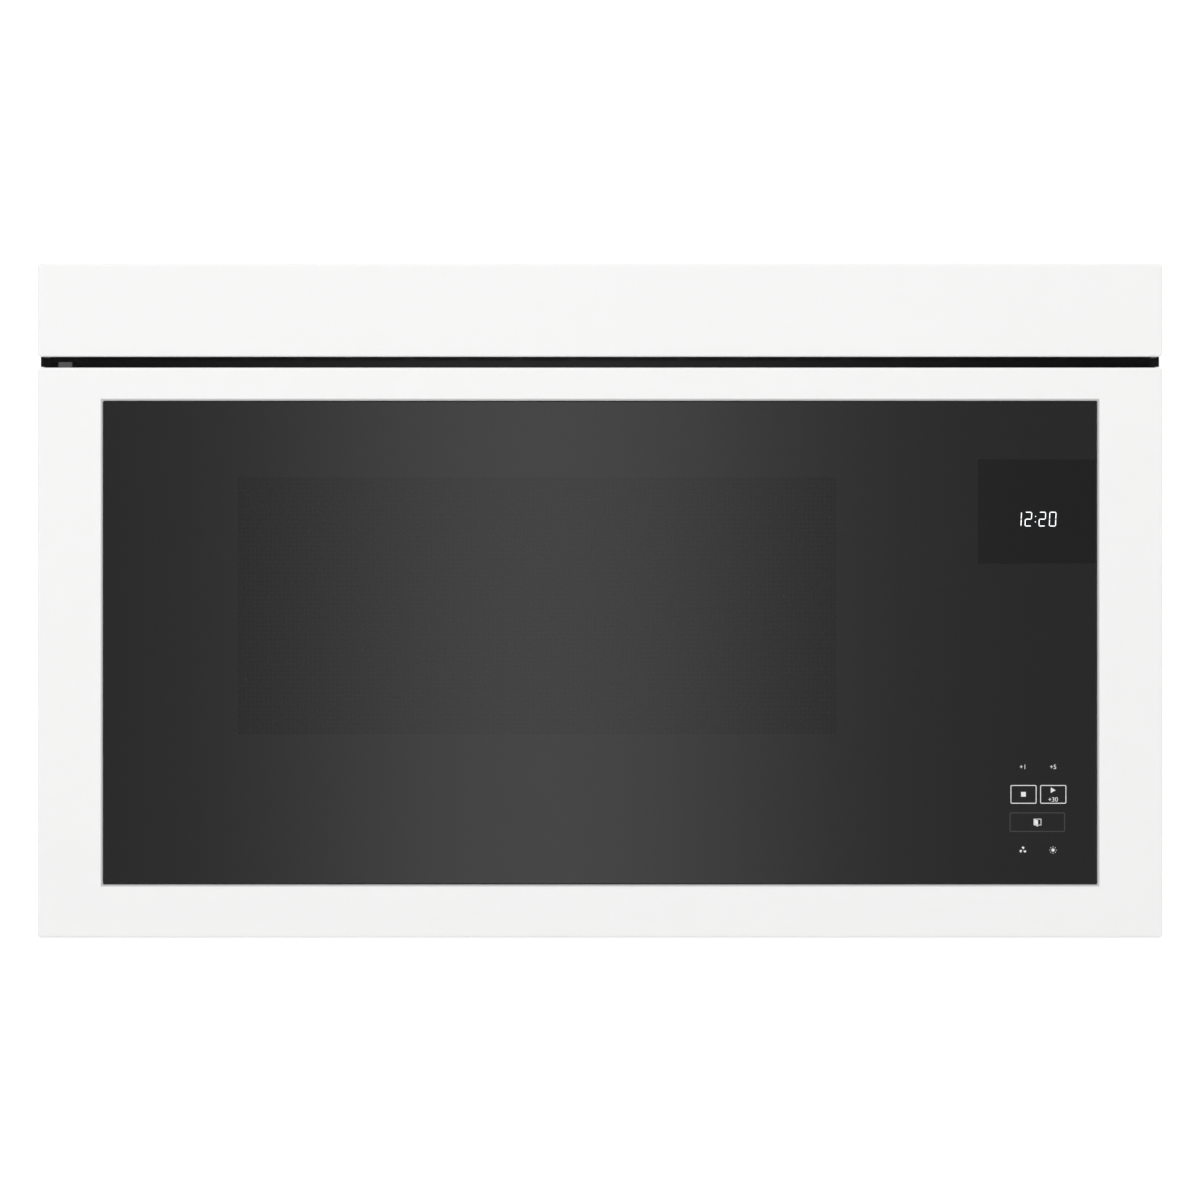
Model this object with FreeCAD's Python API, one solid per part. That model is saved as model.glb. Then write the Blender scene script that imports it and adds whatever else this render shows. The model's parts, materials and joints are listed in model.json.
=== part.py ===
"""Over-the-range microwave hood, 30 inch class, with one full-width glass door.

Millimetres. X runs to the right, -Y towards the cook, +Z up. The origin is the
bottom centre of the wall face. The door hangs on two vertical pins at the left.
"""
import FreeCAD, Part
import math
import os

V = FreeCAD.Vector
ORIGIN = V(0, 0, 0)
ALONG_X = V(1, 0, 0)
ALONG_Y = V(0, 1, 0)
ALONG_Z = V(0, 0, 1)

# ---- Overall size ----
WIDTH = 759.0
HEIGHT = 455.0
DEPTH = 402.0
FASCIA_HEIGHT = 62.8
VENT_GAP = 7.4
FACE_DEPTH = 34.0          # side walls of the door and the fascia
FACE_TO_PLATE = 6.0        # shadow gap between the door's back edge and the chassis
SCREW_R = 3.6
SCREW_HEAD = 1.8
BODY_INSET = 2.5           # the steel cabinet is narrower than the door on each side
SHEET = 1.0                # pressed steel sheet
FACE_WALL = 2.2
FACE_SKIN = 3.5
FACE_CORNER_R = 2.5
FACE_EDGE_R = 1.4
STANDOFF_R = 5.0           # posts that carry the fascia
LOUVRE_INSET = 1.4         # black strip, in from the fascia's sides
LOUVRE_CAP_SETBACK = 9.0
LOUVRE_PITCH = 36.8
RUNNING = 0.05             # radial clearance of a turning or sliding fit
SEAT_GAP = 0.3             # gap between curved faces that only rest

# ---- Door ----
GLASS_MARGIN_SIDE = 43.7
GLASS_MARGIN_TOP = 22.3
GLASS_MARGIN_BOTTOM = 35.8
GLASS_RECESS = 0.3
GLASS_CLEARANCE = 0.5
GLASS_LEDGE = 7.0
LEDGE_THICK = 2.0
PAN_SETBACK = 17.0         # steel pan, behind the door front
COVER_SETBACK = 2.0        # rear cover, in from the door's back edge
COVER_THICK = 1.4
RIB_HEIGHT = 7.0
RIB_THICK = 1.6
RIB_PITCH = 110.0

KEY_ZONE_WIDTH = 64.0
KEY_ZONE_Z = (48.0, 130.0)
DISPLAY_WIDTH = 62.0
DISPLAY_Z = (267.0, 297.0)
DISPLAY_THICK = 7.0
BOARD_THICK = 1.6

# ---- Oven ----
CAVITY_WIDTH = 500.0
CAVITY_HEIGHT = 200.0
CAVITY_DEPTH = 310.0
CAVITY_X = -43.0           # centre of the oven, left of the middle
CAVITY_FLOOR = 125.0
CAVITY_CORNER_R = 14.0
DISH_R = 108.0
DISH_DEPTH = 22.0
CERAMIC_THICK = 5.0
WINDOW_WIDTH = 405.3
WINDOW_HEIGHT = 174.8
WINDOW_STEP = 2.0          # the window panel is pressed forward by this much
PANE_SEAT = 0.8            # depth of the pane's seat in the choke cover
CHOKE_WIDTH = 30.0
CHOKE_GAP = 1.2            # choke cover to the chassis front plate
CHOKE_SLOT = 5.0
CHOKE_SLOT_PITCH = 36.0
PANE_THICK = 1.6
CHOKE_COVER_THICK = 1.2

# ---- Hinge ----
PIN_INSET_X = 17.85
PIN_INSET_Y = 14.0
PIN_R = 3.0
BUSH_R = 5.0
BUSH_FLANGE_R = 7.0
BUSH_FLANGE = 1.1
BUSH_LENGTH = 14.0
BOSS_R = 8.0
LEAF_THICK = 3.6
LEAF_HALF = 5.05
LEAF_GAP = 0.4
LOWER_LEAF_Z = 1.5
BRACKET_WIDTH = 28.0
BRACKET_HEIGHT = 40.0
BRACKET_THICK = 2.5
BRACKET_OFFSET = 12.0
HINGE_NOTCH_X = 31.0

# ---- Door lock ----
LATCH_OUT = 33.0           # latch line, right of the choke
LATCH_THICK = 3.0
LATCH_TRAVEL = 6.0
HOOK_NECK = 10.0
HOOK_BARB = 6.5
HOOK_REACH = 20.0          # from the front plate to the hook's tip
HOOK_SLOT_LOW = 130.0
HOOK_SLOT_HIGH = 300.0
HOOK_SLOT_HEIGHT = 18.5
LATCH_WALL = 4.8
LEVER_REACH = 30.0
LEVER_TAIL = 22.0
LEVER_DROP = 5.3
LEVER_NOSE_R = 2.0
LEVER_PIN_R = 2.5
PLUNGER_R = 5.0
BUTTON_HALF = 2.0          # half width of a switch button
PUSHER_R = 5.0
PUSHER_RISE = 36.0         # above the upper hook slot

# ---- Component bay ----
BAY_GAP = 4.0              # oven wall to the bay partition
MAGNETRON_OUT = 82.0       # magnetron axis, right of the partition
WAVEGUIDE_HALF = 48.0
WAVEGUIDE_DEPTH = 22.0
SHAFT_R = 4.0
FAN_R = 47.0
FAN_BLADES = 5
FAN_SHAFT_R = 2.5
FAN_PITCH = 28.0
FAN_SETBACK = 128.0        # fan bulkhead, in front of the wall face

# ---- Hood ----
DUCT_WIDTH = 254.0
DUCT_DEPTH = 83.0
DUCT_SETBACK = 6.0
WHEEL_R = 46.0
WHEEL_WIDTH = 74.0
WHEEL_BLADES = 20
SCROLL_STEP = 4.0
SCROLL_CLEAR = 4.0
MOTOR_HALF = 38.0
WHEEL_STANDOFF = 7.0       # motor to each wheel
SCROLL_GAP = 2.0           # motor to each scroll
BLOWER_SHAFT_R = 4.0
WHEEL_RIM = 8.0            # radial depth of the wheels' blades and rings
BLOWER_CLEAR = 4.0         # oven roof to the blower housing
INLET_STEP = 10.0          # inlet and motor radius, less than the wheel's
FILTER_WIDTH = 165.0
FILTER_DEPTH = 250.0
FILTER_THICK = 8.0
FILTER_LIP = 4.0
FRAME_WALL = 3.0
FILTER_SPACING = 320.0
FILTER_BAY_CLEAR = 12.5    # right-hand filter to the bay partition
FILTER_SETBACK = 55.0
LENS_WIDTH = 66.0
LENS_DEPTH = 30.0
CHARCOAL_WIDTH = 300.0
CHARCOAL_HEIGHT = 52.0
CHARCOAL_THICK = 20.0
BOLT_INSET = 22.0          # cabinet bolts, in from the bay partition
BOLT_R = 2.6
BOLT_SETBACK = 275.0
CORD_R = 4.5
HOOK_PLATE_SPACING = 486.0  # slots for the wall plate's hooks
HOOK_PLATE_SLOT = 30.0
HOOK_PLATE_R = 2.5
HOOK_PLATE_Z = 28.5

# ---- Derived places ----
XH = WIDTH / 2.0
XB = XH - BODY_INSET
Y_FRONT = -DEPTH
Y_BACK_EDGE = Y_FRONT + FACE_DEPTH
Y_PLATE = Y_BACK_EDGE + FACE_TO_PLATE
Y_INSIDE = Y_PLATE + SHEET
DOOR_HEIGHT = HEIGHT - FASCIA_HEIGHT - VENT_GAP
FASCIA_Z = DOOR_HEIGHT + VENT_GAP
SKIN_Y = Y_FRONT + FACE_SKIN
PAN_Y = Y_FRONT + PAN_SETBACK
COVER_Y = Y_BACK_EDGE - COVER_SETBACK
COVER_BACK_Y = COVER_Y + COVER_THICK
CHOKE_Y = Y_PLATE - CHOKE_GAP - CHOKE_COVER_THICK
PIN_X = -XH + PIN_INSET_X
PIN_Y = Y_FRONT + PIN_INSET_Y
NOTCH_Z = LOWER_LEAF_Z + LEAF_THICK + SEAT_GAP + BUSH_FLANGE
CAV_X0 = CAVITY_X - CAVITY_WIDTH / 2.0
CAV_X1 = CAVITY_X + CAVITY_WIDTH / 2.0
CAV_TOP = CAVITY_FLOOR + CAVITY_HEIGHT
CAV_BACK = Y_INSIDE + CAVITY_DEPTH
CAV_Y = (Y_INSIDE + CAV_BACK) / 2.0
CHOKE_X = (CAV_X0 - CHOKE_WIDTH, CAV_X1 + CHOKE_WIDTH)
CHOKE_Z = (CAVITY_FLOOR - CHOKE_WIDTH, CAV_TOP + CHOKE_WIDTH)
LATCH_X = CHOKE_X[1] + LATCH_OUT
PUSHER_Z = HOOK_SLOT_HIGH + PUSHER_RISE
WALL_X = LATCH_X + 12.0
BAY_X = CAV_X1 + SHEET + BAY_GAP
BAY_LEFT = BAY_X + SHEET
BAY_RIGHT = XB - SHEET
MAG_X = BAY_LEFT + MAGNETRON_OUT
DISH_Z = CAVITY_FLOOR - DISH_DEPTH - SHEET
GUIDE_Z = DISH_Z - WAVEGUIDE_DEPTH
FAN_Y = -FAN_SETBACK
FAN_Z = DISH_Z + 50.0
WHEEL_Y = -DUCT_SETBACK - SHEET - SCROLL_STEP / 2.0 - (WHEEL_R + SCROLL_CLEAR + 2 * SCROLL_STEP)
WHEEL_Z = CAV_TOP + BLOWER_CLEAR + 2 * SHEET + WHEEL_R + SCROLL_CLEAR + 1.5 * SCROLL_STEP
INLET_R = WHEEL_R - INLET_STEP
DUCT_Y = (-DUCT_SETBACK - SHEET - DUCT_DEPTH, -DUCT_SETBACK - SHEET)


# ---- Shared forms ----

def slab(x, y, z, around=None, radius=0.0):
    """Box between pairs of limits; edges along one axis may be rounded."""
    solid = Part.makeBox(x[1] - x[0], y[1] - y[0], z[1] - z[0], V(x[0], y[0], z[0]))
    if radius > 0:
        edges = [e for e in solid.Edges if abs(e.tangentAt(e.FirstParameter).dot(around)) > 0.9]
        solid = solid.makeFillet(radius, edges)
    return solid


def rod(start, along, radius, length):
    return Part.makeCylinder(radius, length, start, along)


def tube(start, along, outer, inner, length):
    return rod(start, along, outer, length).cut(rod(start, along, inner, length))


def prism(points, sweep):
    """Straight-sided outline swept in a straight line."""
    return Part.Face(Part.makePolygon(points + [points[0]])).extrude(sweep)


def join(solids):
    return solids[0].fuse(solids[1:]).removeSplitter()


def grown(limits, by):
    """A pair of limits, moved outward at both ends."""
    return (limits[0] - by, limits[1] + by)


def ordered(one, other):
    """A pair of limits from two places in either order."""
    return (min(one, other), max(one, other))


def spaced(first, last, pitch):
    """Evenly spaced places from first to last, as near the pitch as fits."""
    gaps = max(1, int(round((last - first) / pitch)))
    return [first + (last - first) * i / gaps for i in range(gaps + 1)]


def arc_edge(centre_y, centre_z, radius, start, end):
    """Arc in a plane of constant X, between two angles in degrees from +Y."""
    angles = [math.radians(a) for a in (start, (start + end) / 2.0, end)]
    points = [V(0, centre_y + radius * math.cos(a), centre_z + radius * math.sin(a)) for a in angles]
    return Part.Arc(points[0], points[1], points[2]).toShape()


def faceted(start, along, radius, length, sides=8):
    """Post, boss or can with flat sides; the radius is to its corners."""
    side = ALONG_X if abs(along.x) < 0.5 else ALONG_Z
    across = side.cross(along)
    corners = []
    for i in range(sides):
        turn = 2.0 * math.pi * (i + 0.5) / sides
        corners.append(start + side * (radius * math.cos(turn)) + across * (radius * math.sin(turn)))
    return prism(corners, along * length)


def hex_head(seat, outward):
    """Head of a sheet-metal screw, standing on its seat."""
    return faceted(seat, outward, SCREW_R, SCREW_HEAD, 6)


def save(name, shape):
    os.makedirs("parts", exist_ok=True)
    shape.exportStep("parts/" + name + ".step")


# ---- Door ----

def face_shell(low, high):
    """Moulded front: a skin with four side walls, open at the back."""
    body = slab((-XH, XH), (Y_FRONT, Y_BACK_EDGE), (low, high), ALONG_Y, FACE_CORNER_R)
    rim = [e for e in body.Edges if e.BoundBox.YMax < Y_FRONT + 0.01]
    body = body.makeFillet(FACE_EDGE_R, rim)
    hollow = slab(grown((-XH, XH), -FACE_WALL), (SKIN_Y, Y_BACK_EDGE + 1), grown((low, high), -FACE_WALL))
    return body.cut(hollow)


def glass_limits(by):
    """X and Z limits of the glass opening, grown outward by a margin."""
    x = grown((-XH + GLASS_MARGIN_SIDE, XH - GLASS_MARGIN_SIDE), by)
    z = grown((GLASS_MARGIN_BOTTOM, DOOR_HEIGHT - GLASS_MARGIN_TOP), by)
    return x, z


def boss_places():
    """Screw bosses that carry the steel pan inside the door frame."""
    side = XH - 24.5
    places = [(sx * side, z) for sx in (-1, 1) for z in spaced(60.0, DOOR_HEIGHT - 65.0, 130.0)]
    rows = (FACE_WALL + 15.8, DOOR_HEIGHT - FACE_WALL - 15.8)
    places += [(x, z) for z in rows for x in (-200.0, 0.0, 200.0)]
    return places


def door_ribs():
    """Short ribs between the skin and the side walls; the rear cover rests on them."""
    ribs = []
    y = (SKIN_Y, COVER_Y)
    inner_x = XH - FACE_WALL
    inner_z = (FACE_WALL, DOOR_HEIGHT - FACE_WALL)
    for x in spaced(-XH + 50.0, XH - 50.0, RIB_PITCH):
        edge = (x - RIB_THICK / 2.0, x + RIB_THICK / 2.0)
        ribs.append(slab(edge, y, (inner_z[0], inner_z[0] + RIB_HEIGHT)))
        ribs.append(slab(edge, y, (inner_z[1] - RIB_HEIGHT, inner_z[1])))
    for z in spaced(45.0, DOOR_HEIGHT - 45.0, RIB_PITCH):
        edge = (z - RIB_THICK / 2.0, z + RIB_THICK / 2.0)
        ribs.append(slab((-inner_x, -inner_x + RIB_HEIGHT), y, edge))
        ribs.append(slab((inner_x - RIB_HEIGHT, inner_x), y, edge))
    return ribs


def door_bezel():
    """White door frame with the glass opening, hinge bosses and the leaf notch."""
    frame = face_shell(0.0, DOOR_HEIGHT)
    x, z = glass_limits(6.0)
    ledge = slab(x, (SKIN_Y, SKIN_Y + LEDGE_THICK), z)
    web_x = (-XH + FACE_WALL, PIN_X)
    top_boss_z = DOOR_HEIGHT - FACE_WALL - BUSH_LENGTH
    floor_z = (NOTCH_Z, NOTCH_Z + FACE_WALL)
    notch_x = (-XH, -XH + HINGE_NOTCH_X)
    parts = [frame, ledge]
    parts.append(rod(V(PIN_X, PIN_Y, top_boss_z), ALONG_Z, BOSS_R, DOOR_HEIGHT - top_boss_z - 1.0))
    parts.append(slab(web_x, (PIN_Y - 1.25, PIN_Y + 1.25), (top_boss_z, DOOR_HEIGHT - 1.0)))
    parts.append(slab((notch_x[0] + 1, notch_x[1] + FACE_WALL), (SKIN_Y, Y_BACK_EDGE), floor_z))
    parts.append(slab((notch_x[1], notch_x[1] + FACE_WALL), (SKIN_Y, Y_BACK_EDGE), (1.0, floor_z[1])))
    parts.append(rod(V(PIN_X, PIN_Y, NOTCH_Z + 1), ALONG_Z, BOSS_R, BUSH_LENGTH))
    parts.append(slab(web_x, (PIN_Y - 1.25, PIN_Y + 1.25), (NOTCH_Z + 1, NOTCH_Z + BUSH_LENGTH)))
    for bx, bz in boss_places():
        parts.append(faceted(V(bx, SKIN_Y - 1, bz), ALONG_Y, 3.6, PAN_Y - SKIN_Y + 1))
    parts += door_ribs()
    body = parts[0].fuse(parts[1:])
    cuts = []
    x, z = glass_limits(0.0)
    cuts.append(slab(x, (Y_FRONT - 1, SKIN_Y), z, ALONG_Y, 1.2))
    x, z = glass_limits(-GLASS_LEDGE)
    cuts.append(slab(x, (SKIN_Y - 1, SKIN_Y + LEDGE_THICK + 1), z))
    cuts.append(slab((-XH - 1, notch_x[1]), (SKIN_Y, Y_BACK_EDGE + 1), (-1, NOTCH_Z)))
    cuts.append(rod(V(PIN_X, PIN_Y, NOTCH_Z - 1), ALONG_Z, BUSH_R, BUSH_LENGTH + 3))
    cuts.append(rod(V(PIN_X, PIN_Y, top_boss_z - 1), ALONG_Z, BUSH_R, BUSH_LENGTH + 5))
    cuts.append(rod(V(PIN_X, PIN_Y, DOOR_HEIGHT - BUSH_FLANGE), ALONG_Z, BUSH_FLANGE_R, 5.0))
    cuts.append(hinge_side_bevel())
    return body.cut(cuts)


def hinge_side_bevel():
    """The rear edge of the hinge-side wall is bevelled so that it clears the chassis."""
    bevel = 3.0
    corner = V(-XH - 1, Y_BACK_EDGE + 1, -1)
    along_wall = V(-XH - 1, Y_BACK_EDGE - bevel - 1, -1)
    across = V(-XH + bevel + 1, Y_BACK_EDGE + 1, -1)
    return prism([corner, along_wall, across], V(0, 0, DOOR_HEIGHT + 2))


def door_glass():
    x, z = glass_limits(-GLASS_CLEARANCE)
    pane = slab(x, (Y_FRONT + GLASS_RECESS, SKIN_Y), z, ALONG_Y, 1.0)
    rim = [e for e in pane.Edges if e.BoundBox.YMax < Y_FRONT + GLASS_RECESS + 0.01]
    return pane.makeChamfer(0.4, rim)


def choke_inner(by):
    """X and Z limits of the choke channel's inner wall, grown outward."""
    inset = CHOKE_WIDTH - 4.0
    return grown(CHOKE_X, by - inset), grown(CHOKE_Z, by - inset)


def choke_slots(y):
    """Cuts that part the choke lip into teeth."""
    slots = []
    half = CHOKE_SLOT / 2.0
    reach = 12.0
    for x in spaced(CHOKE_X[0] + 22.0, CHOKE_X[1] - 22.0, CHOKE_SLOT_PITCH):
        for z in CHOKE_Z:
            slots.append(slab((x - half, x + half), y, (z - reach, z + reach)))
    for z in spaced(CHOKE_Z[0] + 22.0, CHOKE_Z[1] - 22.0, CHOKE_SLOT_PITCH):
        for x in CHOKE_X:
            slots.append(slab((x - reach, x + reach), y, (z - half, z + half)))
    return slots


def door_inner_frame():
    """Pressed steel pan with the wave choke: a channel whose lip is cut into teeth."""
    pan = slab((-XH + 11.5, XH - 11.5), (PAN_Y, PAN_Y + SHEET), (12.0, DOOR_HEIGHT - 12.0), ALONG_Y, 4.0)
    outer = slab(CHOKE_X, (PAN_Y, CHOKE_Y), CHOKE_Z)
    x, z = choke_inner(SHEET)
    inner = slab(x, (PAN_Y, CHOKE_Y), z)
    lip_hole = slab(grown(CHOKE_X, -10.0), (CHOKE_Y - SHEET, CHOKE_Y), grown(CHOKE_Z, -10.0))
    channel = slab(grown(CHOKE_X, -SHEET), (PAN_Y + SHEET, CHOKE_Y - SHEET), grown(CHOKE_Z, -SHEET))
    channel = channel.fuse(lip_hole)
    x, z = choke_inner(0.0)
    core = slab(x, (PAN_Y - 1, CHOKE_Y + 1), z)
    ring = outer.cut(channel).fuse(inner).cut(core)
    panel = window_panel(x, z)
    body = pan.cut(core).fuse([ring, panel])
    corner = BUSH_LENGTH + 8.0
    cuts = [slab((-XH, PIN_X + BOSS_R + 2), (PAN_Y - 1, PAN_Y + 2), (z0, z1))
            for z0, z1 in ((0, NOTCH_Z + corner), (DOOR_HEIGHT - corner, DOOR_HEIGHT))]
    cuts += choke_slots((CHOKE_Y - SHEET - 5.0, CHOKE_Y + 1))
    return body.cut(cuts)


def window_panel(x, z):
    """Screened panel inside the choke; the window in it is pressed toward the glass."""
    back = CHOKE_Y + CHOKE_COVER_THICK - PANE_SEAT - PANE_THICK
    front = back - SHEET
    middle_z = CAVITY_FLOOR + CAVITY_HEIGHT / 2.0
    window_x = (CAVITY_X - WINDOW_WIDTH / 2.0, CAVITY_X + WINDOW_WIDTH / 2.0)
    window_z = (middle_z - WINDOW_HEIGHT / 2.0, middle_z + WINDOW_HEIGHT / 2.0)
    tray = slab(grown(window_x, SHEET), (front - WINDOW_STEP, back), grown(window_z, SHEET))
    hollow = slab(window_x, (back - WINDOW_STEP, back + 1), window_z)
    return slab(x, (front, back), z).fuse(tray).cut(hollow)


def door_inner_pane():
    """Thin pane between the oven and the perforated panel."""
    x, z = choke_inner(-SEAT_GAP)
    back = CHOKE_Y + CHOKE_COVER_THICK - PANE_SEAT
    return slab(x, (back - PANE_THICK, back), z, ALONG_Y, 2.0)


def door_choke_cover():
    """Moulded ring over the choke channel, with a lip that holds the inner pane."""
    y = (CHOKE_Y, CHOKE_Y + CHOKE_COVER_THICK)
    x, z = choke_inner(-4.0)
    ring = slab(grown(CHOKE_X, 2.0), y, grown(CHOKE_Z, 2.0), ALONG_Y, 3.0).cut(
        slab(x, (y[0] - 1, y[1] + 1), z, ALONG_Y, 3.0))
    skirt_y = (COVER_BACK_Y + SEAT_GAP, y[0])
    skirt = slab(grown(CHOKE_X, 2.0), skirt_y, grown(CHOKE_Z, 2.0), ALONG_Y, 3.0).cut(
        slab(grown(CHOKE_X, SEAT_GAP), grown(skirt_y, 1), grown(CHOKE_Z, SEAT_GAP)))
    x, z = choke_inner(0.0)
    return ring.fuse(skirt).cut(slab(x, (y[0] - 1, y[1] - PANE_SEAT), z))


def hook_slots(x, y):
    """Two upright slots that the door hooks pass through."""
    slots = []
    for low in (HOOK_SLOT_LOW, HOOK_SLOT_HIGH):
        slots.append(slab(x, y, (low - LATCH_TRAVEL, low + HOOK_SLOT_HEIGHT)))
    return slots


def door_rear_cover():
    """Moulded back of the door, with guides for the latch and a pocket for its spring."""
    plate = slab(grown((-XH, XH), -FACE_WALL - 0.5), (COVER_Y, COVER_BACK_Y),
                 (FACE_WALL + 0.5, DOOR_HEIGHT - FACE_WALL - 0.5))
    cuts = [slab(grown(CHOKE_X, 0.5), (COVER_Y - 1, COVER_BACK_Y + 1), grown(CHOKE_Z, 0.5))]
    cuts.append(slab((-XH, -XH + HINGE_NOTCH_X + FACE_WALL + 0.5), (COVER_Y - 1, COVER_BACK_Y + 1),
                     (0, NOTCH_Z + FACE_WALL + 0.5)))
    half = LATCH_THICK / 2.0
    cuts += hook_slots((LATCH_X - half - 1, LATCH_X + half + 1), (COVER_Y - 1, COVER_BACK_Y + 1))
    guides = []
    guide_y = (PAN_Y + SHEET, COVER_Y)
    for side in (-1, 1):
        inner = LATCH_X + side * (half + SEAT_GAP)
        limits = ordered(inner, inner + side * 2.0)
        for z in (170.0, 245.0):
            guides.append(slab(limits, guide_y, (z, z + 30.0)))
    spring_z = latch_top() + SEAT_GAP + 18.0
    guides.append(slab((LATCH_X - 6.0, LATCH_X + 6.0), guide_y, (spring_z, spring_z + 2.0)))
    return plate.cut(cuts).fuse(guides)


def latch_top():
    return HOOK_SLOT_HIGH + HOOK_SLOT_HEIGHT + 10.0


def latch_spring():
    """Small square-wire compression spring that drives the hooks down onto their ledges."""
    low = latch_top() + SEAT_GAP
    length = 18.0
    wire = 0.45
    turns = 3
    coil = Part.makeHelix((length - 2 * wire) / turns, length - 2 * wire, 3.6)
    coil.translate(V(LATCH_X, (PAN_Y + COVER_Y) / 2.0, low + wire))
    start = V(LATCH_X + 3.6, (PAN_Y + COVER_Y) / 2.0, low + wire)
    corners = [start + V(dx * wire, 0, dz * wire) for dx, dz in ((-1, -1), (1, -1), (1, 1), (-1, 1))]
    section = Part.makePolygon(corners + [corners[0]])
    return Part.Wire(coil.Edges).makePipeShell([section], True, True)


def hinge_bushes():
    """Flanged bushes pressed into the top and bottom of the door frame."""
    top = tube(V(PIN_X, PIN_Y, DOOR_HEIGHT - FACE_WALL - BUSH_LENGTH), ALONG_Z, BUSH_R, PIN_R + RUNNING,
               FACE_WALL + BUSH_LENGTH)
    top_flange = tube(V(PIN_X, PIN_Y, DOOR_HEIGHT - BUSH_FLANGE), ALONG_Z, BUSH_FLANGE_R, PIN_R + RUNNING,
                      BUSH_FLANGE)
    low = tube(V(PIN_X, PIN_Y, NOTCH_Z - BUSH_FLANGE), ALONG_Z, BUSH_R, PIN_R + RUNNING,
               BUSH_LENGTH + BUSH_FLANGE)
    low_flange = tube(V(PIN_X, PIN_Y, NOTCH_Z - BUSH_FLANGE), ALONG_Z, BUSH_FLANGE_R, PIN_R + RUNNING,
                      BUSH_FLANGE)
    return Part.makeCompound([top.fuse(top_flange), low.fuse(low_flange)])


def door_screws():
    """Hex-head screws that hold the steel pan on the frame's bosses."""
    return Part.makeCompound([hex_head(V(x, PAN_Y + SHEET, z), ALONG_Y) for x, z in boss_places()])


def key_zone():
    """X and Z limits of the touch keys, at the lower right of the glass."""
    right = XH - GLASS_MARGIN_SIDE - GLASS_LEDGE - 2.0
    return (right - KEY_ZONE_WIDTH, right), KEY_ZONE_Z


def display_zone():
    centre = XH - GLASS_MARGIN_SIDE - 40.0
    return (centre - DISPLAY_WIDTH / 2.0, centre + DISPLAY_WIDTH / 2.0), DISPLAY_Z


def touch_board():
    """Circuit board with the capacitive pads, held against the back of the glass."""
    x, z = key_zone()
    back = SKIN_Y + BOARD_THICK
    board = slab(x, (SKIN_Y, back), z, ALONG_Y, 2.0)
    chip = slab((x[0] + 18.0, x[0] + 30.0), (back, back + 1.4), (z[0] + 26.0, z[0] + 38.0))
    plug = slab((x[0] + 20.0, x[0] + 44.0), (back, back + 6.0), (z[1] - 12.0, z[1] - 4.0))
    return board.fuse([chip, plug])


def display_module():
    """Seven-segment clock: a dark housing on its board."""
    x, z = display_zone()
    seat = SKIN_Y + DISPLAY_THICK
    back = seat + BOARD_THICK
    housing = slab(grown(x, -5.0), (SKIN_Y, seat), grown(z, -4.0), ALONG_Y, 1.0)
    board = slab(x, (seat, back), z)
    plug = slab((x[0] + 20.0, x[0] + 38.0), (back, back + 2.9), (z[0] + 3.0, z[0] + 10.0))
    return housing.fuse([board, plug])


def control_carrier():
    """Moulded tray that ties the clock and the touch board to the steel pan."""
    kx, kz = key_zone()
    dx, dz = display_zone()
    y = (SKIN_Y + DISPLAY_THICK + BOARD_THICK + 1.0, SKIN_Y + DISPLAY_THICK + 2 * BOARD_THICK + 1.0)
    x = (kx[0] - 2.0, kx[1])
    z = (kz[0] - 2.0, dz[1] + 2.0)
    spine = slab((x[1] - 8.0, x[1]), y, z)
    low = slab(x, y, (kz[0] - 2.0, kz[1] - 16.0))
    high = slab((dx[0] - 2.0, x[1]), y, grown(dz, 2.0))
    high = high.cut(slab(grown(dx, -8.0), grown(y, 1.0), grown(dz, -1.5)))
    posts = []
    for px, pz in ((x[0] + 3.0, kz[0] + 3.0), (x[1] - 4.0, kz[0] + 3.0), (x[0] + 3.0, kz[1] - 20.0)):
        posts.append(faceted(V(px, SKIN_Y + BOARD_THICK, pz), ALONG_Y, 2.0, 9.0))
    for pz in (z[0] + 10.0, (z[0] + z[1]) / 2.0, z[1] - 10.0):
        posts.append(faceted(V(x[1] - 4.0, y[1] - 1.0, pz), ALONG_Y, 3.0, PAN_Y - y[1] + 1.0))
    stop = slab((dx[1] - 4.0, dx[1]), (y[0] - 1.0, y[0]), grown(dz, -3.0))
    return join([spine, low, high, stop] + posts)


def latch_hooks():
    """Sliding latch plate with an upper and a lower hook that reach into the cabinet."""
    half = LATCH_THICK / 2.0
    plate_y = (PAN_Y + SHEET + SEAT_GAP, COVER_Y - SEAT_GAP)
    spine = slab((LATCH_X - half, LATCH_X + half), plate_y, (HOOK_SLOT_LOW - 8.0, latch_top()))
    body = [spine]
    tip = Y_PLATE + HOOK_REACH
    barb_front = Y_INSIDE + LATCH_WALL + 0.7
    for low, reach in ((HOOK_SLOT_LOW, tip + 6.0), (HOOK_SLOT_HIGH, tip - 3.0)):
        barb = low + 0.5
        neck = barb + HOOK_BARB
        top = neck + HOOK_NECK
        outline = [(plate_y[0], neck - 3), (plate_y[1], neck), (barb_front, neck), (barb_front, barb),
                   (reach - 4, barb), (reach, barb + 4), (reach, top - 4), (reach - 5, top),
                   (plate_y[0], top)]
        points = [V(LATCH_X - half, y, z) for y, z in outline]
        body.append(prism(points, V(LATCH_THICK, 0, 0)))
    return join(body)


# ---- Cabinet ----

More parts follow.
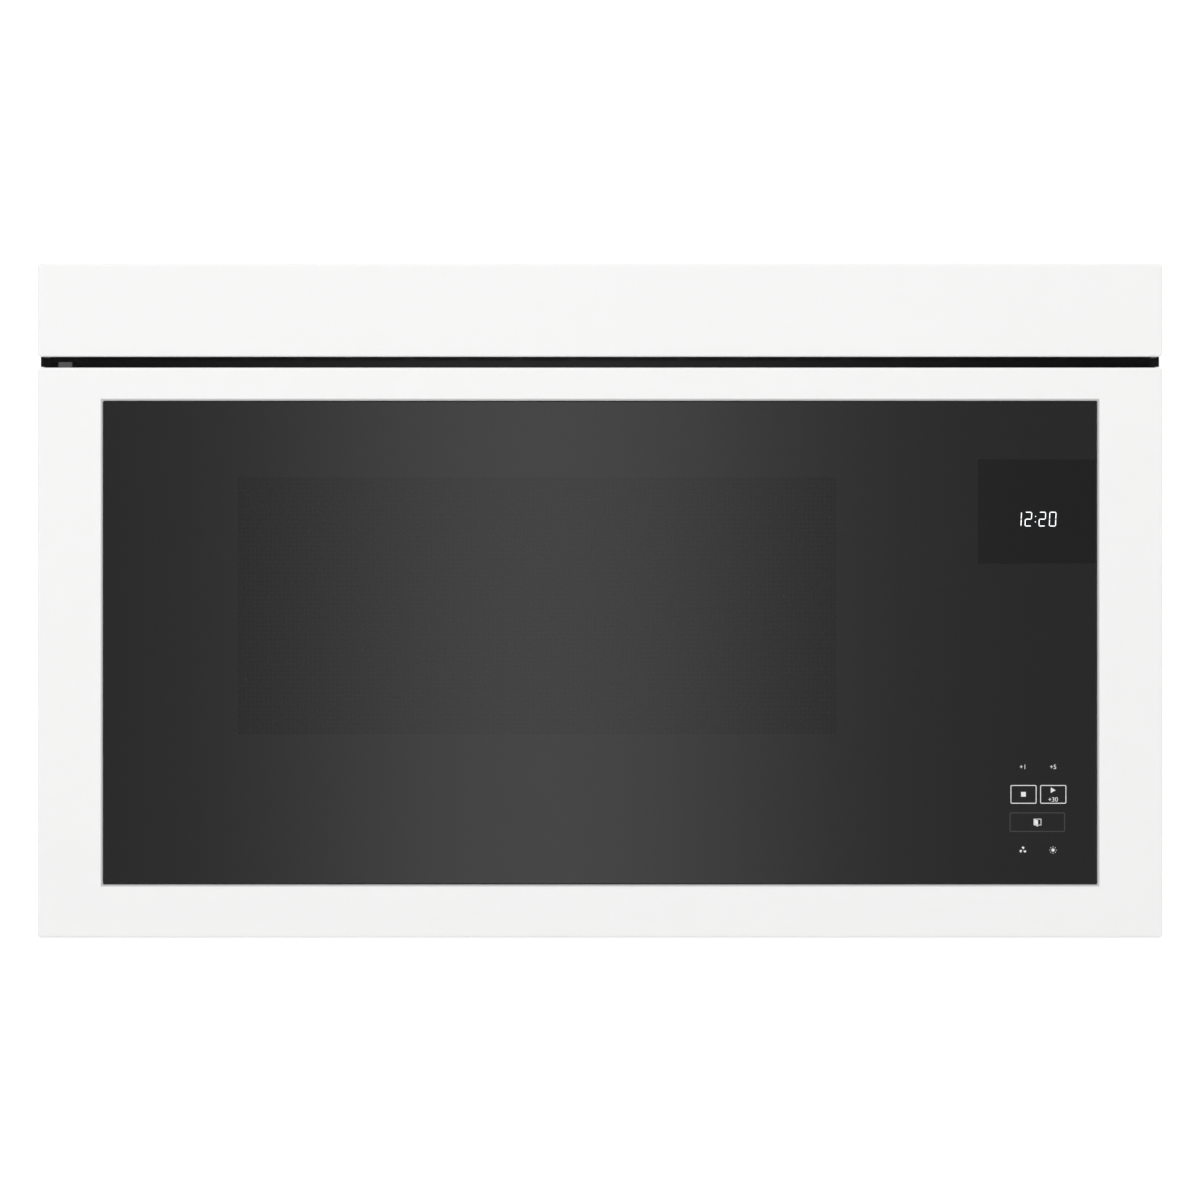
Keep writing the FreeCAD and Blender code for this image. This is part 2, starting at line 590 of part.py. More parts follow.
def bead(panel, low, high, inward, depth=3.0, width=12.0):
    """Stiffening bead pressed inward into a sheet: a half-round swage between two ends."""
    along = V(high.x - low.x, high.y - low.y, high.z - low.z)
    length = along.Length
    along.normalize()
    radius = (depth * depth + width * width / 4.0) / (2.0 * depth)
    back = radius - depth
    centre = low - inward * back
    side = along.cross(inward)
    corner = low - side * (width / 2.0)
    points = [corner, corner + side * width, corner + side * width + inward * (depth + 2.0),
              corner + inward * (depth + 2.0)]
    limit = prism(points, along * length)
    ridge = rod(centre, along, radius, length).common(limit)
    groove = rod(centre - inward * SHEET, along, radius, length).common(
        prism([p - inward * SHEET for p in points], along * length))
    return panel.fuse(ridge).cut(groove)


def framed(x, y, hole_x, hole_y, z):
    """Four strips round a rectangular hole: two across its full width, two beside it."""
    return [slab(x, (y[0], hole_y[0]), z), slab(x, (hole_y[1], y[1]), z),
            slab((x[0], hole_x[0]), hole_y, z), slab((hole_x[1], x[1]), hole_y, z)]


def cord_place():
    return V(BAY_RIGHT - 45.0, -48.0, HEIGHT)


def cabinet_wrap():
    """Two beaded side sheets, the top strips round the duct, and the brace welded under them."""
    y = (Y_INSIDE, -SHEET)
    sheets = []
    for side in (-1, 1):
        inner = side * (XB - SHEET)
        sheet = slab(ordered(inner, side * XB), y, (0, HEIGHT))
        for z in (60.0, 290.0):
            sheet = bead(sheet, V(inner, y[0] + 60.0, z), V(inner, y[1] - 60.0, z), V(-side, 0, 0))
        sheets.append(sheet)
    half = DUCT_WIDTH / 2.0
    top = framed((-XB + SHEET, XB - SHEET), y, (-half, half), DUCT_Y, (HEIGHT - SHEET, HEIGHT))
    brace, bolt_holes = top_brace()
    holes = bolt_holes + [rod(cord_place() - ALONG_Z * 3, ALONG_Z, CORD_R + 6.0 + RUNNING, 5.0)]
    return Part.makeCompound(sheets + [piece.cut(holes) for piece in top + [brace]])


def bolt_x():
    return (-BAY_X + BOLT_INSET, BAY_X - BOLT_INSET)


def rear_panel():
    """Back sheet, with two slots for the hooks of a wall plate along its lower edge."""
    body = slab((-XB, XB), (-SHEET, 0), (0, HEIGHT), ALONG_Y, 3.0)
    for x in (-290.0, -100.0, 100.0, 290.0):
        body = bead(body, V(x, -SHEET, 60.0), V(x, -SHEET, HEIGHT - 150.0), V(0, -1, 0), 2.5)
    slots = []
    reach = HOOK_PLATE_SLOT / 2.0 - HOOK_PLATE_R
    z = (HOOK_PLATE_Z - HOOK_PLATE_R, HOOK_PLATE_Z + HOOK_PLATE_R)
    for x in (-HOOK_PLATE_SPACING / 2.0, HOOK_PLATE_SPACING / 2.0):
        slots.append(slab((x - reach, x + reach), (-4, 1), z))
        for end in (x - reach, x + reach):
            slots.append(rod(V(end, -4, HOOK_PLATE_Z), ALONG_Y, HOOK_PLATE_R, 5))
    return body.cut(slots[0].fuse(slots[1:]))


def base_rim_inner():
    return (-XB + SHEET, XB - SHEET)


def filter_centres():
    right = BAY_X - FILTER_BAY_CLEAR - FILTER_WIDTH / 2.0
    return [right - FILTER_SPACING, right]


def filter_y(grow):
    return grown((-FILTER_SETBACK - FILTER_DEPTH, -FILTER_SETBACK), grow)


def lens_y(grow):
    front = Y_INSIDE + 16.0
    return grown((front, front + LENS_DEPTH), grow)


def base_plate():
    """Underside: two grease-filter openings with rims, two lamp openings, bay slots."""
    front = Y_INSIDE
    body = slab(base_rim_inner(), (front, -SHEET), (0, SHEET))
    half = FILTER_WIDTH / 2.0
    adds = []
    cuts = []
    for side in (-1, 1):
        edge = side * (XB - SHEET)
        limits = ordered(edge, edge - side * SHEET)
        adds.append(slab(limits, (front + 14.0, -SHEET), (0, 13.0)))
    for x in filter_centres():
        limits = (x - half, x + half)
        rim = slab(grown(limits, 0.5 + SHEET), filter_y(0.5 + SHEET), (0, SHEET + FILTER_THICK))
        adds.append(rim.cut(slab(grown(limits, 0.5), filter_y(0.5), (-1, 40))))
        cuts.append(slab(grown(limits, -FILTER_LIP), filter_y(-FILTER_LIP), (-1, 2), ALONG_Z, 5.0))
        cuts.append(slab((x - LENS_WIDTH / 2.0, x + LENS_WIDTH / 2.0), lens_y(0.0), (-1, 2), ALONG_Z, 4.0))
    for x in spaced(BAY_LEFT + 25.0, BAY_RIGHT - 25.0, 12.0):
        cuts.append(slab((x - 2.0, x + 2.0), (-330.0, -300.0), (-1, 2)))
        cuts.append(slab((x - 2.0, x + 2.0), (-250.0, -220.0), (-1, 2)))
    return body.cut(cuts).fuse(adds)


def screw_row():
    """Places of the screws that tie the cabinet's sides to the base, along Y."""
    return spaced(Y_INSIDE + 30.0, -30.0, 140.0)


def bracket_x():
    return (PIN_X + BRACKET_OFFSET, PIN_X + BRACKET_OFFSET + BRACKET_WIDTH)


def bracket_z(upper):
    low = DOOR_HEIGHT + LEAF_GAP if upper else LOWER_LEAF_Z
    return (low, low + BRACKET_HEIGHT)


def bracket_screws(upper):
    x = sum(bracket_x()) / 2.0
    low = bracket_z(upper)[0]
    return [(x, low + 13.0), (x, low + 31.0)]


def hinge_bracket(upper):
    """Angle bracket: a flange on the front plate and a leaf with the hinge pin staked in it."""
    z = bracket_z(upper)
    leaf_z = (z[0], z[0] + LEAF_THICK)
    arm_x = (PIN_X - LEAF_HALF, PIN_X + LEAF_HALF)
    nose = slab(arm_x, (PIN_Y - LEAF_HALF, PIN_Y + LEAF_HALF), leaf_z, ALONG_Z, 1.5)
    arm = slab(arm_x, (PIN_Y, Y_PLATE), leaf_z)
    shoulder = slab((PIN_X - LEAF_HALF, bracket_x()[1]), (Y_PLATE - 3.8, Y_PLATE), leaf_z)
    flange = slab(bracket_x(), (Y_PLATE - BRACKET_THICK, Y_PLATE), z, ALONG_Y, 3.0)
    foot = slab(bracket_x(), (Y_PLATE - BRACKET_THICK, Y_PLATE), (z[0], z[0] + 6.0))
    if upper:
        pin_z = (DOOR_HEIGHT - FACE_WALL - BUSH_LENGTH + 2.0, leaf_z[1])
    else:
        pin_z = (leaf_z[0], NOTCH_Z + BUSH_LENGTH - 2.0)
    pin = rod(V(PIN_X, PIN_Y, pin_z[0]), ALONG_Z, PIN_R, pin_z[1] - pin_z[0])
    return join([nose, arm, shoulder, flange, foot, pin])


def charcoal_z():
    middle = (FASCIA_Z + HEIGHT) / 2.0 - 1.0
    return (middle - CHARCOAL_HEIGHT / 2.0, middle + CHARCOAL_HEIGHT / 2.0)


def fascia_standoffs():
    return [(x, z) for x in (-XH + 76.0, XH - 76.0) for z in (FASCIA_Z + 16.0, HEIGHT - 14.0)]


def front_frame():
    """Chassis front plate with the oven mouth, hook slots and the air outlet."""
    body = slab((-XB, XB), (Y_PLATE, Y_INSIDE), (0, HEIGHT), ALONG_Y, 3.0)
    flange_x = (-XB + SHEET, XB - SHEET)
    flange_z = (SHEET, HEIGHT - SHEET)
    y = (Y_INSIDE, Y_INSIDE + 13.0)
    flange = slab(flange_x, y, flange_z)
    flange = flange.cut(slab(grown(flange_x, -SHEET), grown(y, 1), grown(flange_z, -SHEET)))
    cuts = [slab((CAV_X0, CAV_X1), (Y_PLATE - 1, Y_INSIDE + 1), (CAVITY_FLOOR, CAV_TOP), ALONG_Y, 3.0)]
    cuts += hook_slots((LATCH_X - 3.5, LATCH_X + 7.0), (Y_PLATE - 1, Y_INSIDE + 1))
    cuts.append(rod(V(LATCH_X, Y_PLATE - 1, PUSHER_Z), ALONG_Y, PUSHER_R + 0.8, 3))
    cuts.append(slab(grown((-CHARCOAL_WIDTH / 2.0, CHARCOAL_WIDTH / 2.0), -6.0), (Y_PLATE - 1, Y_INSIDE + 1),
                     grown(charcoal_z(), -5.0)))
    return body.fuse(flange).cut(cuts)


def vent_fascia():
    """White panel over the door; its underside is open to the slotted strip."""
    shell = face_shell(FASCIA_Z, HEIGHT)
    adds = []
    opening_y = (Y_FRONT + 7.0, Y_BACK_EDGE + 1)
    cuts = [slab(grown((-XH, XH), -6.0), opening_y, (FASCIA_Z - 1, FASCIA_Z + FACE_WALL))]
    for x, z in fascia_standoffs():
        adds.append(faceted(V(x, SKIN_Y - 1, z), ALONG_Y, STANDOFF_R, Y_PLATE - SKIN_Y + 1))
        adds.append(slab((x - 1.2, x + 1.2), (SKIN_Y - 1, Y_BACK_EDGE), (z - 9.0, z + 9.0)))
    for x in spaced(-XH + 120.0, XH - 120.0, 120.0):
        adds.append(slab((x - 0.8, x + 0.8), (SKIN_Y, Y_BACK_EDGE - 6.0), (HEIGHT - 12.0, HEIGHT - 1.0)))
    return shell.cut(cuts).fuse(adds)


def vent_louvre():
    """Black slotted strip under the fascia, with the wall behind the vent gap and its two end caps."""
    y = (Y_FRONT + 7.3, Y_BACK_EDGE + 1.5)
    low = DOOR_HEIGHT + 0.8
    strip = slab(grown((-XH, XH), -6.3), y, (FASCIA_Z, FASCIA_Z + 1.5))
    slot_half = LOUVRE_PITCH / 2.0 - 3.0
    slot_y = (y[0] + 4.0, y[1] - 7.0)
    cuts = []
    for x in spaced(-XH + 46.0, XH - 46.0, LOUVRE_PITCH):
        cuts.append(slab((x - slot_half, x + slot_half), slot_y, (FASCIA_Z - 1, FASCIA_Z + 3)))
    for x, z in fascia_standoffs():
        cuts.append(faceted(V(x, y[0], z), ALONG_Y, STANDOFF_R + 0.5, 60))
    leaf_room = slab((PIN_X - LEAF_HALF - 0.5, PIN_X + LEAF_HALF + 0.5), (Y_BACK_EDGE - 1, y[1] + 1),
                     (DOOR_HEIGHT, DOOR_HEIGHT + LEAF_GAP + LEAF_THICK + 0.5))
    wall = slab(grown((-XH, XH), -LOUVRE_INSET), (Y_BACK_EDGE, y[1]), (low, FASCIA_Z)).cut(leaf_room)
    solids = [strip.cut(cuts), wall]
    for side in (-1, 1):
        limits = ordered(side * (XH - LOUVRE_INSET), side * (XH - LOUVRE_INSET - 2.0))
        solids.append(slab(limits, (Y_FRONT + LOUVRE_CAP_SETBACK, Y_BACK_EDGE), (low, FASCIA_Z)))
    return Part.makeCompound(solids)


def bay_partition():
    """Sheet between the oven and the component bay."""
    y = (Y_INSIDE + 13.0, -SHEET)
    body = slab((BAY_X, BAY_LEFT), y, (SHEET, HEIGHT - SHEET))
    foot = slab((BAY_LEFT, BAY_LEFT + 10.0), (y[0] + 60.0, y[1] - 130.0), (SHEET, 2 * SHEET))
    cuts = [slab((BAY_X - 1, BAY_LEFT + 1), (CAV_Y - WAVEGUIDE_HALF, CAV_Y + WAVEGUIDE_HALF),
                 (GUIDE_Z, DISH_Z))]
    cuts.append(slab((BAY_X - 1, BAY_LEFT + 1), (Y_INSIDE, Y_INSIDE + 40.0), (HEIGHT - 40.0, HEIGHT)))
    for y0 in (-140.0, -90.0):
        cuts.append(slab((BAY_X - 1, BAY_LEFT + 1), (y0, y0 + 26.0), (HEIGHT - 55.0, HEIGHT - 30.0)))
    return body.fuse(foot).cut(cuts)


def top_brace():
    """Channel welded under the top, with weld nuts for the two cabinet bolts."""
    y = (-BOLT_SETBACK - 16.0, -BOLT_SETBACK + 16.0)
    x = (-XB + SHEET, BAY_X)
    top = HEIGHT - SHEET
    outer = slab(x, y, (top - 15.0, top))
    body = outer.cut(slab(grown(x, 1), grown(y, -2.0), (top - 20.0, top - 2.0)))
    nuts = []
    cuts = []
    for bx in bolt_x():
        nuts.append(rod(V(bx, -BOLT_SETBACK, top - 12.0), ALONG_Z, 6.5, 11.0))
        cuts.append(rod(V(bx, -BOLT_SETBACK, top - 14.0), ALONG_Z, BOLT_R, 20.0))
    return body.fuse(nuts), cuts


def cabinet_screws():
    """Sheet-metal screws of the cabinet's sides and the hinge brackets."""
    screws = []
    for side in (-1, 1):
        for y in screw_row():
            screws.append(hex_head(V(side * XB, y, 7.0), V(side, 0, 0)))
    for upper in (True, False):
        for x, z in bracket_screws(upper):
            screws.append(hex_head(V(x, Y_PLATE - BRACKET_THICK, z), V(0, -1, 0)))
    return Part.makeCompound(screws)


def cord_bushing():
    """Flanged bushing where the supply cord leaves through the top."""
    place = cord_place()
    flange = rod(V(place.x, place.y, HEIGHT - SHEET - 3.0), ALONG_Z, CORD_R + 9.0, 3.0)
    neck = rod(V(place.x, place.y, HEIGHT - SHEET - 10.0), ALONG_Z, CORD_R + 6.0, 10.0 + SHEET)
    bore = rod(V(place.x, place.y, HEIGHT - 20.0), ALONG_Z, CORD_R, 30.0)
    return flange.fuse(neck).cut(bore)


# ---- Oven and microwave source ----

def oven_cavity():
    """Welded oven box with rounded rear corners and a round dish under its floor."""
    front = Y_INSIDE
    trim = slab((CAV_X0 - 50, CAV_X1 + 50), (front - 60, front), (0, HEIGHT))
    outer = slab(grown((CAV_X0, CAV_X1), SHEET), (front - CAVITY_CORNER_R - 16.0, CAV_BACK + SHEET),
                 grown((CAVITY_FLOOR, CAV_TOP), SHEET), ALONG_Z, CAVITY_CORNER_R + SHEET).cut(trim)
    inner_y = (front - 30.0, CAV_BACK)
    inner = slab((CAV_X0, CAV_X1), inner_y, (CAVITY_FLOOR, CAV_TOP), ALONG_Z, CAVITY_CORNER_R)
    dish = rod(V(CAVITY_X, CAV_Y, DISH_Z), ALONG_Z, DISH_R + SHEET, DISH_DEPTH)
    dish_hollow = rod(V(CAVITY_X, CAV_Y, DISH_Z + SHEET), ALONG_Z, DISH_R, DISH_DEPTH + 5.0)
    body = outer.fuse(dish).cut([inner, dish_hollow])
    for x, inward in ((CAV_X0, V(-1, 0, 0)), (CAV_X1, V(1, 0, 0))):
        body = bead(body, V(x + inward.x * SHEET, front + 45.0, CAVITY_FLOOR + 70.0),
                    V(x + inward.x * SHEET, CAV_BACK - 45.0, CAVITY_FLOOR + 70.0), inward, 2.5)
    cuts = [rod(V(CAVITY_X, CAV_Y, DISH_Z - 1), ALONG_Z, 18.0, 3)]
    lamp_x, lamp_y = lamp_place()
    for x in spaced(lamp_x - 12.0, lamp_x + 12.0, 8.0):
        for y in spaced(lamp_y - 8.0, lamp_y + 8.0, 8.0):
            cuts.append(slab((x - 2.0, x + 2.0), (y - 2.0, y + 2.0), (CAV_TOP - 1, CAV_TOP + 2)))
    for z in spaced(CAV_TOP - 70.0, CAV_TOP - 30.0, 10.0):
        for y in spaced(front + 60.0, front + 120.0, 30.0):
            cuts.append(slab((CAV_X1 - 1, CAV_X1 + 2), (y - 10.0, y + 10.0), (z - 2.0, z + 2.0)))
    return body.cut(cuts)


def lamp_place():
    return CAV_X1 - 90.0, Y_INSIDE + 50.0


def cavity_lamp():
    """Lamp box over the holes in the oven's roof."""
    x, y = lamp_place()
    low = CAV_TOP + SHEET
    case = slab((x - 22.0, x + 22.0), (y - 17.0, y + 17.0), (low, low + 18.0), ALONG_Z, 3.0)
    hollow = slab((x - 20.0, x + 20.0), (y - 15.0, y + 15.0), (low - 1, low + 14.0))
    lamp = rod(V(x, y, low + 9.0), ALONG_Z, 5.0, 6.0)
    plug = slab((x - 6.0, x + 6.0), (y - 5.0, y + 5.0), (low + 17.0, low + 24.0))
    return case.cut(hollow).fuse([lamp, plug])


def ceramic_floor():
    """Flat glass-ceramic oven floor, which hides the stirrer under it."""
    return slab((CAV_X0 + 1.5, CAV_X1 - 1.5), (Y_INSIDE + 1.0, CAV_BACK - 1.5),
                (CAVITY_FLOOR, CAVITY_FLOOR + CERAMIC_THICK), ALONG_Z, CAVITY_CORNER_R)


def waveguide():
    """Rectangular tube from the magnetron to the stirrer dish."""
    x = (CAVITY_X - 55.0, MAG_X + 52.0)
    y = (CAV_Y - WAVEGUIDE_HALF + 0.5, CAV_Y + WAVEGUIDE_HALF - 0.5)
    z = (GUIDE_Z, DISH_Z)
    body = slab(x, y, z, ALONG_Y, 3.0).cut(slab(grown(x, -SHEET), grown(y, -SHEET), grown(z, -SHEET)))
    cuts = [rod(V(CAVITY_X, CAV_Y, DISH_Z - 2), ALONG_Z, 18.0, 4)]
    cuts.append(rod(V(MAG_X, CAV_Y, DISH_Z - 2), ALONG_Z, 13.0, 4))
    cuts.append(rod(V(CAVITY_X, CAV_Y, GUIDE_Z - 1), ALONG_Z, 6.0, 4))
    return body.cut(cuts)


def stirrer_antenna():
    """Rotating antenna in the dish: a hub with three paddle arms, on its drive shaft."""
    z = DISH_Z + SHEET + 9.0
    hub = rod(V(CAVITY_X, CAV_Y, z - 4.0), ALONG_Z, 11.0, 6.0)
    arms = []
    for turn in (0.0, 120.0, 240.0):
        arm = slab((0, 50.0), (-9.0, 9.0), (z, z + 1.5))
        paddle = slab((44.0, 88.0), (-20.0, 20.0), (z, z + 1.5), ALONG_Z, 8.0)
        arm = arm.fuse(paddle)
        arm.rotate(ORIGIN, ALONG_Z, turn)
        arm.translate(V(CAVITY_X, CAV_Y, 0))
        arms.append(arm)
    low = GUIDE_Z - 14.0
    shaft = rod(V(CAVITY_X, CAV_Y, low), ALONG_Z, SHAFT_R, z - low)
    return join([hub, shaft] + arms)


def stirrer_motor():
    """Flat geared motor under the waveguide, with two mounting ears."""
    can = rod(V(CAVITY_X, CAV_Y, GUIDE_Z - 18.0), ALONG_Z, 24.5, 16.8)
    ears_x = (CAVITY_X - 33.0, CAVITY_X + 33.0)
    ears = slab(ears_x, (CAV_Y - 8.0, CAV_Y + 8.0), (GUIDE_Z - 1.2, GUIDE_Z))
    plug_y = (CAV_Y - 32.0, CAV_Y - 22.0)
    plug = slab((CAVITY_X - 8.0, CAVITY_X + 8.0), plug_y, (GUIDE_Z - 15.0, GUIDE_Z - 6.0))
    body = join([can, ears, plug])
    return body.cut(rod(V(CAVITY_X, CAV_Y, GUIDE_Z - 14.0 - SEAT_GAP), ALONG_Z, SHAFT_R + RUNNING, 40))


def magnetron():
    """Yoke, filter box, antenna, and the anode with its fins, open to the fan along Y."""
    x = (MAG_X - 41.0, MAG_X + 41.0)
    y = (CAV_Y - 34.0, CAV_Y + 34.0)
    low = DISH_Z
    base = slab(grown(x, 7.0), grown(y, 2.0), (low, low + 2.0), ALONG_Z, 3.0)
    yoke = slab(x, y, (low + 2.0, low + 72.0))
    yoke = yoke.cut(slab(grown(x, -2.0), grown(y, 1.0), (low + 5.0, low + 70.0)))
    box = slab(grown(x, -14.0), grown(y, -6.0), (low + 72.0, low + 98.0), ALONG_Z, 3.0)
    plug = slab((x[1] - 14.0, x[1] - 4.0), (CAV_Y - 12.0, CAV_Y + 12.0), (low + 80.0, low + 90.0))
    antenna = rod(V(MAG_X, CAV_Y, low - 16.0), ALONG_Z, 7.5, 18.0)
    gasket = rod(V(MAG_X, CAV_Y, low - 2.0), ALONG_Z, 12.0, 3.0)
    anode = faceted(V(MAG_X, CAV_Y, low + 4.0), ALONG_Z, 18.0, 67.0, 12)
    fins = []
    for z in spaced(low + 12.0, low + 63.0, 10.2):
        fins.append(slab(grown(x, -1.0), grown(y, -1.0), (z, z + 0.8)))
    return base.fuse([yoke, box, plug, antenna, gasket, anode] + fins)


def transformer_place():
    return V(MAG_X + 2.0, -64.0, SHEET)


def transformer_core():
    """Laminated core with two windows, on a foot plate."""
    place = transformer_place()
    foot = slab((-56.0, 56.0), (-38.0, 38.0), (0, 2.0))
    core = slab((-48.0, 48.0), (-30.0, 30.0), (2.0, 82.0))
    windows = [slab(span, (-31.0, 31.0), (18.0, 66.0)) for span in ((-32.0, -16.0), (16.0, 32.0))]
    body = core.cut(windows).fuse(foot)
    body.translate(place)
    return body


def transformer_windings():
    """Primary and secondary coils around the centre leg."""
    coils = []
    for z in ((19.0, 40.0), (44.0, 65.0)):
        outer = slab((-31.0, 31.0), (-44.0, 44.0), z, ALONG_Z, 12.0)
        coils.append(outer.cut(slab((-16.5, 16.5), (-30.5, 30.5), (0, 90.0))))
    group = Part.makeCompound(coils)
    group.translate(transformer_place())
    return group


def capacitor_place():
    return V(MAG_X + 10.0, Y_INSIDE + 58.0, SHEET)


def stadium(half_long, radius, z):
    """Oval outline, straight along X and round at the ends, raised along Z."""
    middle = slab((-half_long, half_long), (-radius, radius), z)
    ends = [rod(V(x, 0, z[0]), ALONG_Z, radius, z[1] - z[0]) for x in (-half_long, half_long)]
    return join([middle] + ends)


def hv_capacitor():
    """Oval can with a rolled rim, two terminals and the rectifier on one of them."""
    parts = [stadium(10.0, 17.0, (84.0, 88.0)), rectifier()]
    for x in (-11.0, 11.0):
        parts.append(faceted(V(x, 0, 87.0), ALONG_Z, 4.0, 7.0))
        parts.append(slab((x - 3.2, x + 3.2), (-0.4, 0.4), (93.0, 102.0)))
    body = stadium(10.0, 16.0, (0, 84.0)).fuse(parts)
    body.translate(capacitor_place())
    return body


def capacitor_clamp():
    """Band around the can, with a foot on the base plate."""
    band = stadium(10.0, 17.3, (30.0, 44.0)).cut(stadium(10.0, 16.1, (20.0, 50.0)))
    leg = slab((-9.0, 9.0), (17.0, 18.4), (0, 44.0))
    foot = slab((-9.0, 9.0), (17.0, 36.0), (0, 1.4))
    body = band.fuse([leg, foot])
    body.translate(capacitor_place())
    return body


def rectifier():
    """Diode with one lead on the capacitor and one lug on the base plate."""
    x = -46.0
    half = 0.8
    body = faceted(V(x, 0, 60.0), ALONG_Z, 3.5, 20.0)
    lead = slab((x - half, x + half), (-half, half), (1.0, 96.0 + half))
    bridge = slab((x, -14.6), (-half, half), (96.0 - half, 96.0 + half))
    lug = slab((x - 4.0, x + 6.0), (-4.0, 4.0), (0, 1.2))
    return join([body, lead, bridge, lug])


def thermal_cutouts():
    """Two disc thermostats side by side on the oven's roof."""
    discs = []
    for y in (CAV_Y, CAV_Y + 70.0):
        plate = slab((-13.0, 13.0), (-5.0, 5.0), (0, 1.0))
        disc = join([plate, faceted(ORIGIN, ALONG_Z, 8.0, 11.0, 16)])
        for x in (-3.5, 3.5):
            disc = disc.fuse(slab((x - 0.4, x + 0.4), (-3.0, 3.0), (10.0, 19.0)))
        disc.translate(V(CAV_X0 + 60.0, y, CAV_TOP + SHEET))
        discs.append(disc)
    return Part.makeCompound(discs)


def power_board():
    """Relay and supply board on stand-offs along the right-hand wall."""
    board_x = BAY_RIGHT - 10.0
    y = (Y_INSIDE + 60.0, Y_INSIDE + 230.0)
    z = (HEIGHT - 220.0, HEIGHT - 60.0)
    parts = [slab((board_x - 1.6, board_x), y, z)]
    face = board_x - 1.6
    for py in (y[0] + 8.0, y[1] - 8.0):
        for pz in (z[0] + 8.0, z[1] - 8.0):
            parts.append(faceted(V(board_x, py, pz), ALONG_X, 3.0, 10.0))
    for i in range(4):
        low = y[0] + 16.0 + i * 24.0
        parts.append(slab((face - 16.0, face), (low, low + 18.0), (z[0] + 18.0, z[0] + 40.0)))
    parts.append(slab((face - 30.0, face), (y[1] - 62.0, y[1] - 20.0), (z[1] - 60.0, z[1] - 22.0)))
    for i in range(3):
        can = V(face - 18.0, y[0] + 30.0 + i * 16.0, z[1] - 36.0)
        parts.append(faceted(can, ALONG_X, 6.0, 18.0, 12))
    parts.append(slab((face - 9.0, face), (y[0] + 20.0, y[0] + 80.0), (z[1] - 16.0, z[1] - 6.0)))
    return parts[0].fuse(parts[1:])


def noise_filter_board():
    """Fuse and choke board under the top, next to the cord bushing."""
    top = HEIGHT - SHEET
    x = (BAY_LEFT + 10.0, BAY_LEFT + 90.0)
    y = (-98.0, -22.0)
    parts = [slab(x, y, (top - 11.6, top - 10.0))]
    for px in grown(x, -6.0):
        for py in grown(y, -6.0):
            parts.append(faceted(V(px, py, top - 10.0), ALONG_Z, 3.0, 10.0))
    coil = faceted(V(x[0] + 26.0, y[0] + 30.0, top - 23.6), ALONG_Z, 14.0, 12.0, 16)
    parts.append(coil.cut(faceted(V(x[0] + 26.0, y[0] + 30.0, top - 24.6), ALONG_Z, 6.0, 13.0, 16)))
    parts.append(slab((x[1] - 34.0, x[1] - 8.0), (y[0] + 10.0, y[0] + 22.0), (top - 29.6, top - 11.6)))
    parts.append(faceted(V(x[1] - 36.0, y[1] - 16.0, top - 17.0), ALONG_X, 3.0, 28.0))
    parts.append(slab((x[1] - 34.0, x[1] - 10.0), (y[1] - 18.0, y[1] - 14.0), (top - 17.0, top - 11.6)))
    return parts[0].fuse(parts[1:])


# ---- Cooling fan ----

def fan_centre(y):
    return V(MAG_X, y, FAN_Z)


def fan_bulkhead():
    """Sheet across the bay with the fan's orifice ring and four motor arms."""
    z = (FAN_Z - FAN_R - 12.0, FAN_Z + FAN_R + 12.0)
    plate = slab((BAY_LEFT, BAY_RIGHT), (FAN_Y, FAN_Y + SHEET), z)
    ring = rod(fan_centre(FAN_Y), ALONG_Y, FAN_R + 3.5, 16.0)
    orifice = rod(fan_centre(FAN_Y - 1), ALONG_Y, FAN_R + 2.0, 18.0)
    feet = slab((BAY_LEFT, BAY_RIGHT), (FAN_Y + SHEET, FAN_Y + 11.0), (z[0], z[0] + SHEET))
    side = slab((BAY_LEFT, BAY_LEFT + SHEET), (FAN_Y + SHEET, FAN_Y + 11.0), z)
    arms = []
    bar_y = (FAN_Y + 21.0, FAN_Y + 25.0)
    for sx in (-1, 1):
        for sz in (-1, 1):
            at = V(MAG_X + sx * 40.0, FAN_Y + SHEET, FAN_Z + sz * 36.0)
            arms.append(faceted(at, ALONG_Y, 2.5, 24.0))
            arms.append(slab(ordered(MAG_X + sx * 22.0, MAG_X + sx * 42.5), bar_y, grown((at.z, at.z), 3.0)))
            arms.append(slab(ordered(MAG_X + sx * 22.0, MAG_X + sx * 28.0), bar_y,
                             ordered(FAN_Z + sz * 18.0, at.z)))
    return plate.fuse([ring, feet, side] + arms).cut(orifice)


def cooling_fan_motor():
    """Shaded-pole motor: laminated frame, coil and a bearing bridge."""
    y = FAN_Y + 25.0
    frame = slab((MAG_X - 30.0, MAG_X + 30.0), (y, y + 18.0), (FAN_Z - 22.0, FAN_Z + 34.0), ALONG_Y, 3.0)
    window = slab((MAG_X - 16.0, MAG_X + 16.0), (y - 1, y + 19.0), (FAN_Z + 17.0, FAN_Z + 27.0))
    coil_z = (FAN_Z + 17.5, FAN_Z + 40.0)
    coil = slab((MAG_X - 15.0, MAG_X + 15.0), (y - 8.0, y + 26.0), coil_z, ALONG_X, 5.0)
    limb_z = (FAN_Z + 26.8, FAN_Z + 34.2)
    coil = coil.cut(slab((MAG_X - 16.0, MAG_X + 16.0), (y - 0.2, y + 18.2), limb_z))
    bridge_z = (FAN_Z - 7.0, FAN_Z + 7.0)
    bridge = slab((MAG_X - 26.0, MAG_X + 26.0), (y + 18.0, y + 24.0), bridge_z, ALONG_Y, 4.0)
    body = join([frame.cut(window), bridge]).fuse(coil)
    return body.cut(rod(fan_centre(y - 10), ALONG_Y, FAN_SHAFT_R + RUNNING, 60))


def cooling_fan_shaft():
    return rod(fan_centre(FAN_Y - 4.0), ALONG_Y, FAN_SHAFT_R, 55.0)


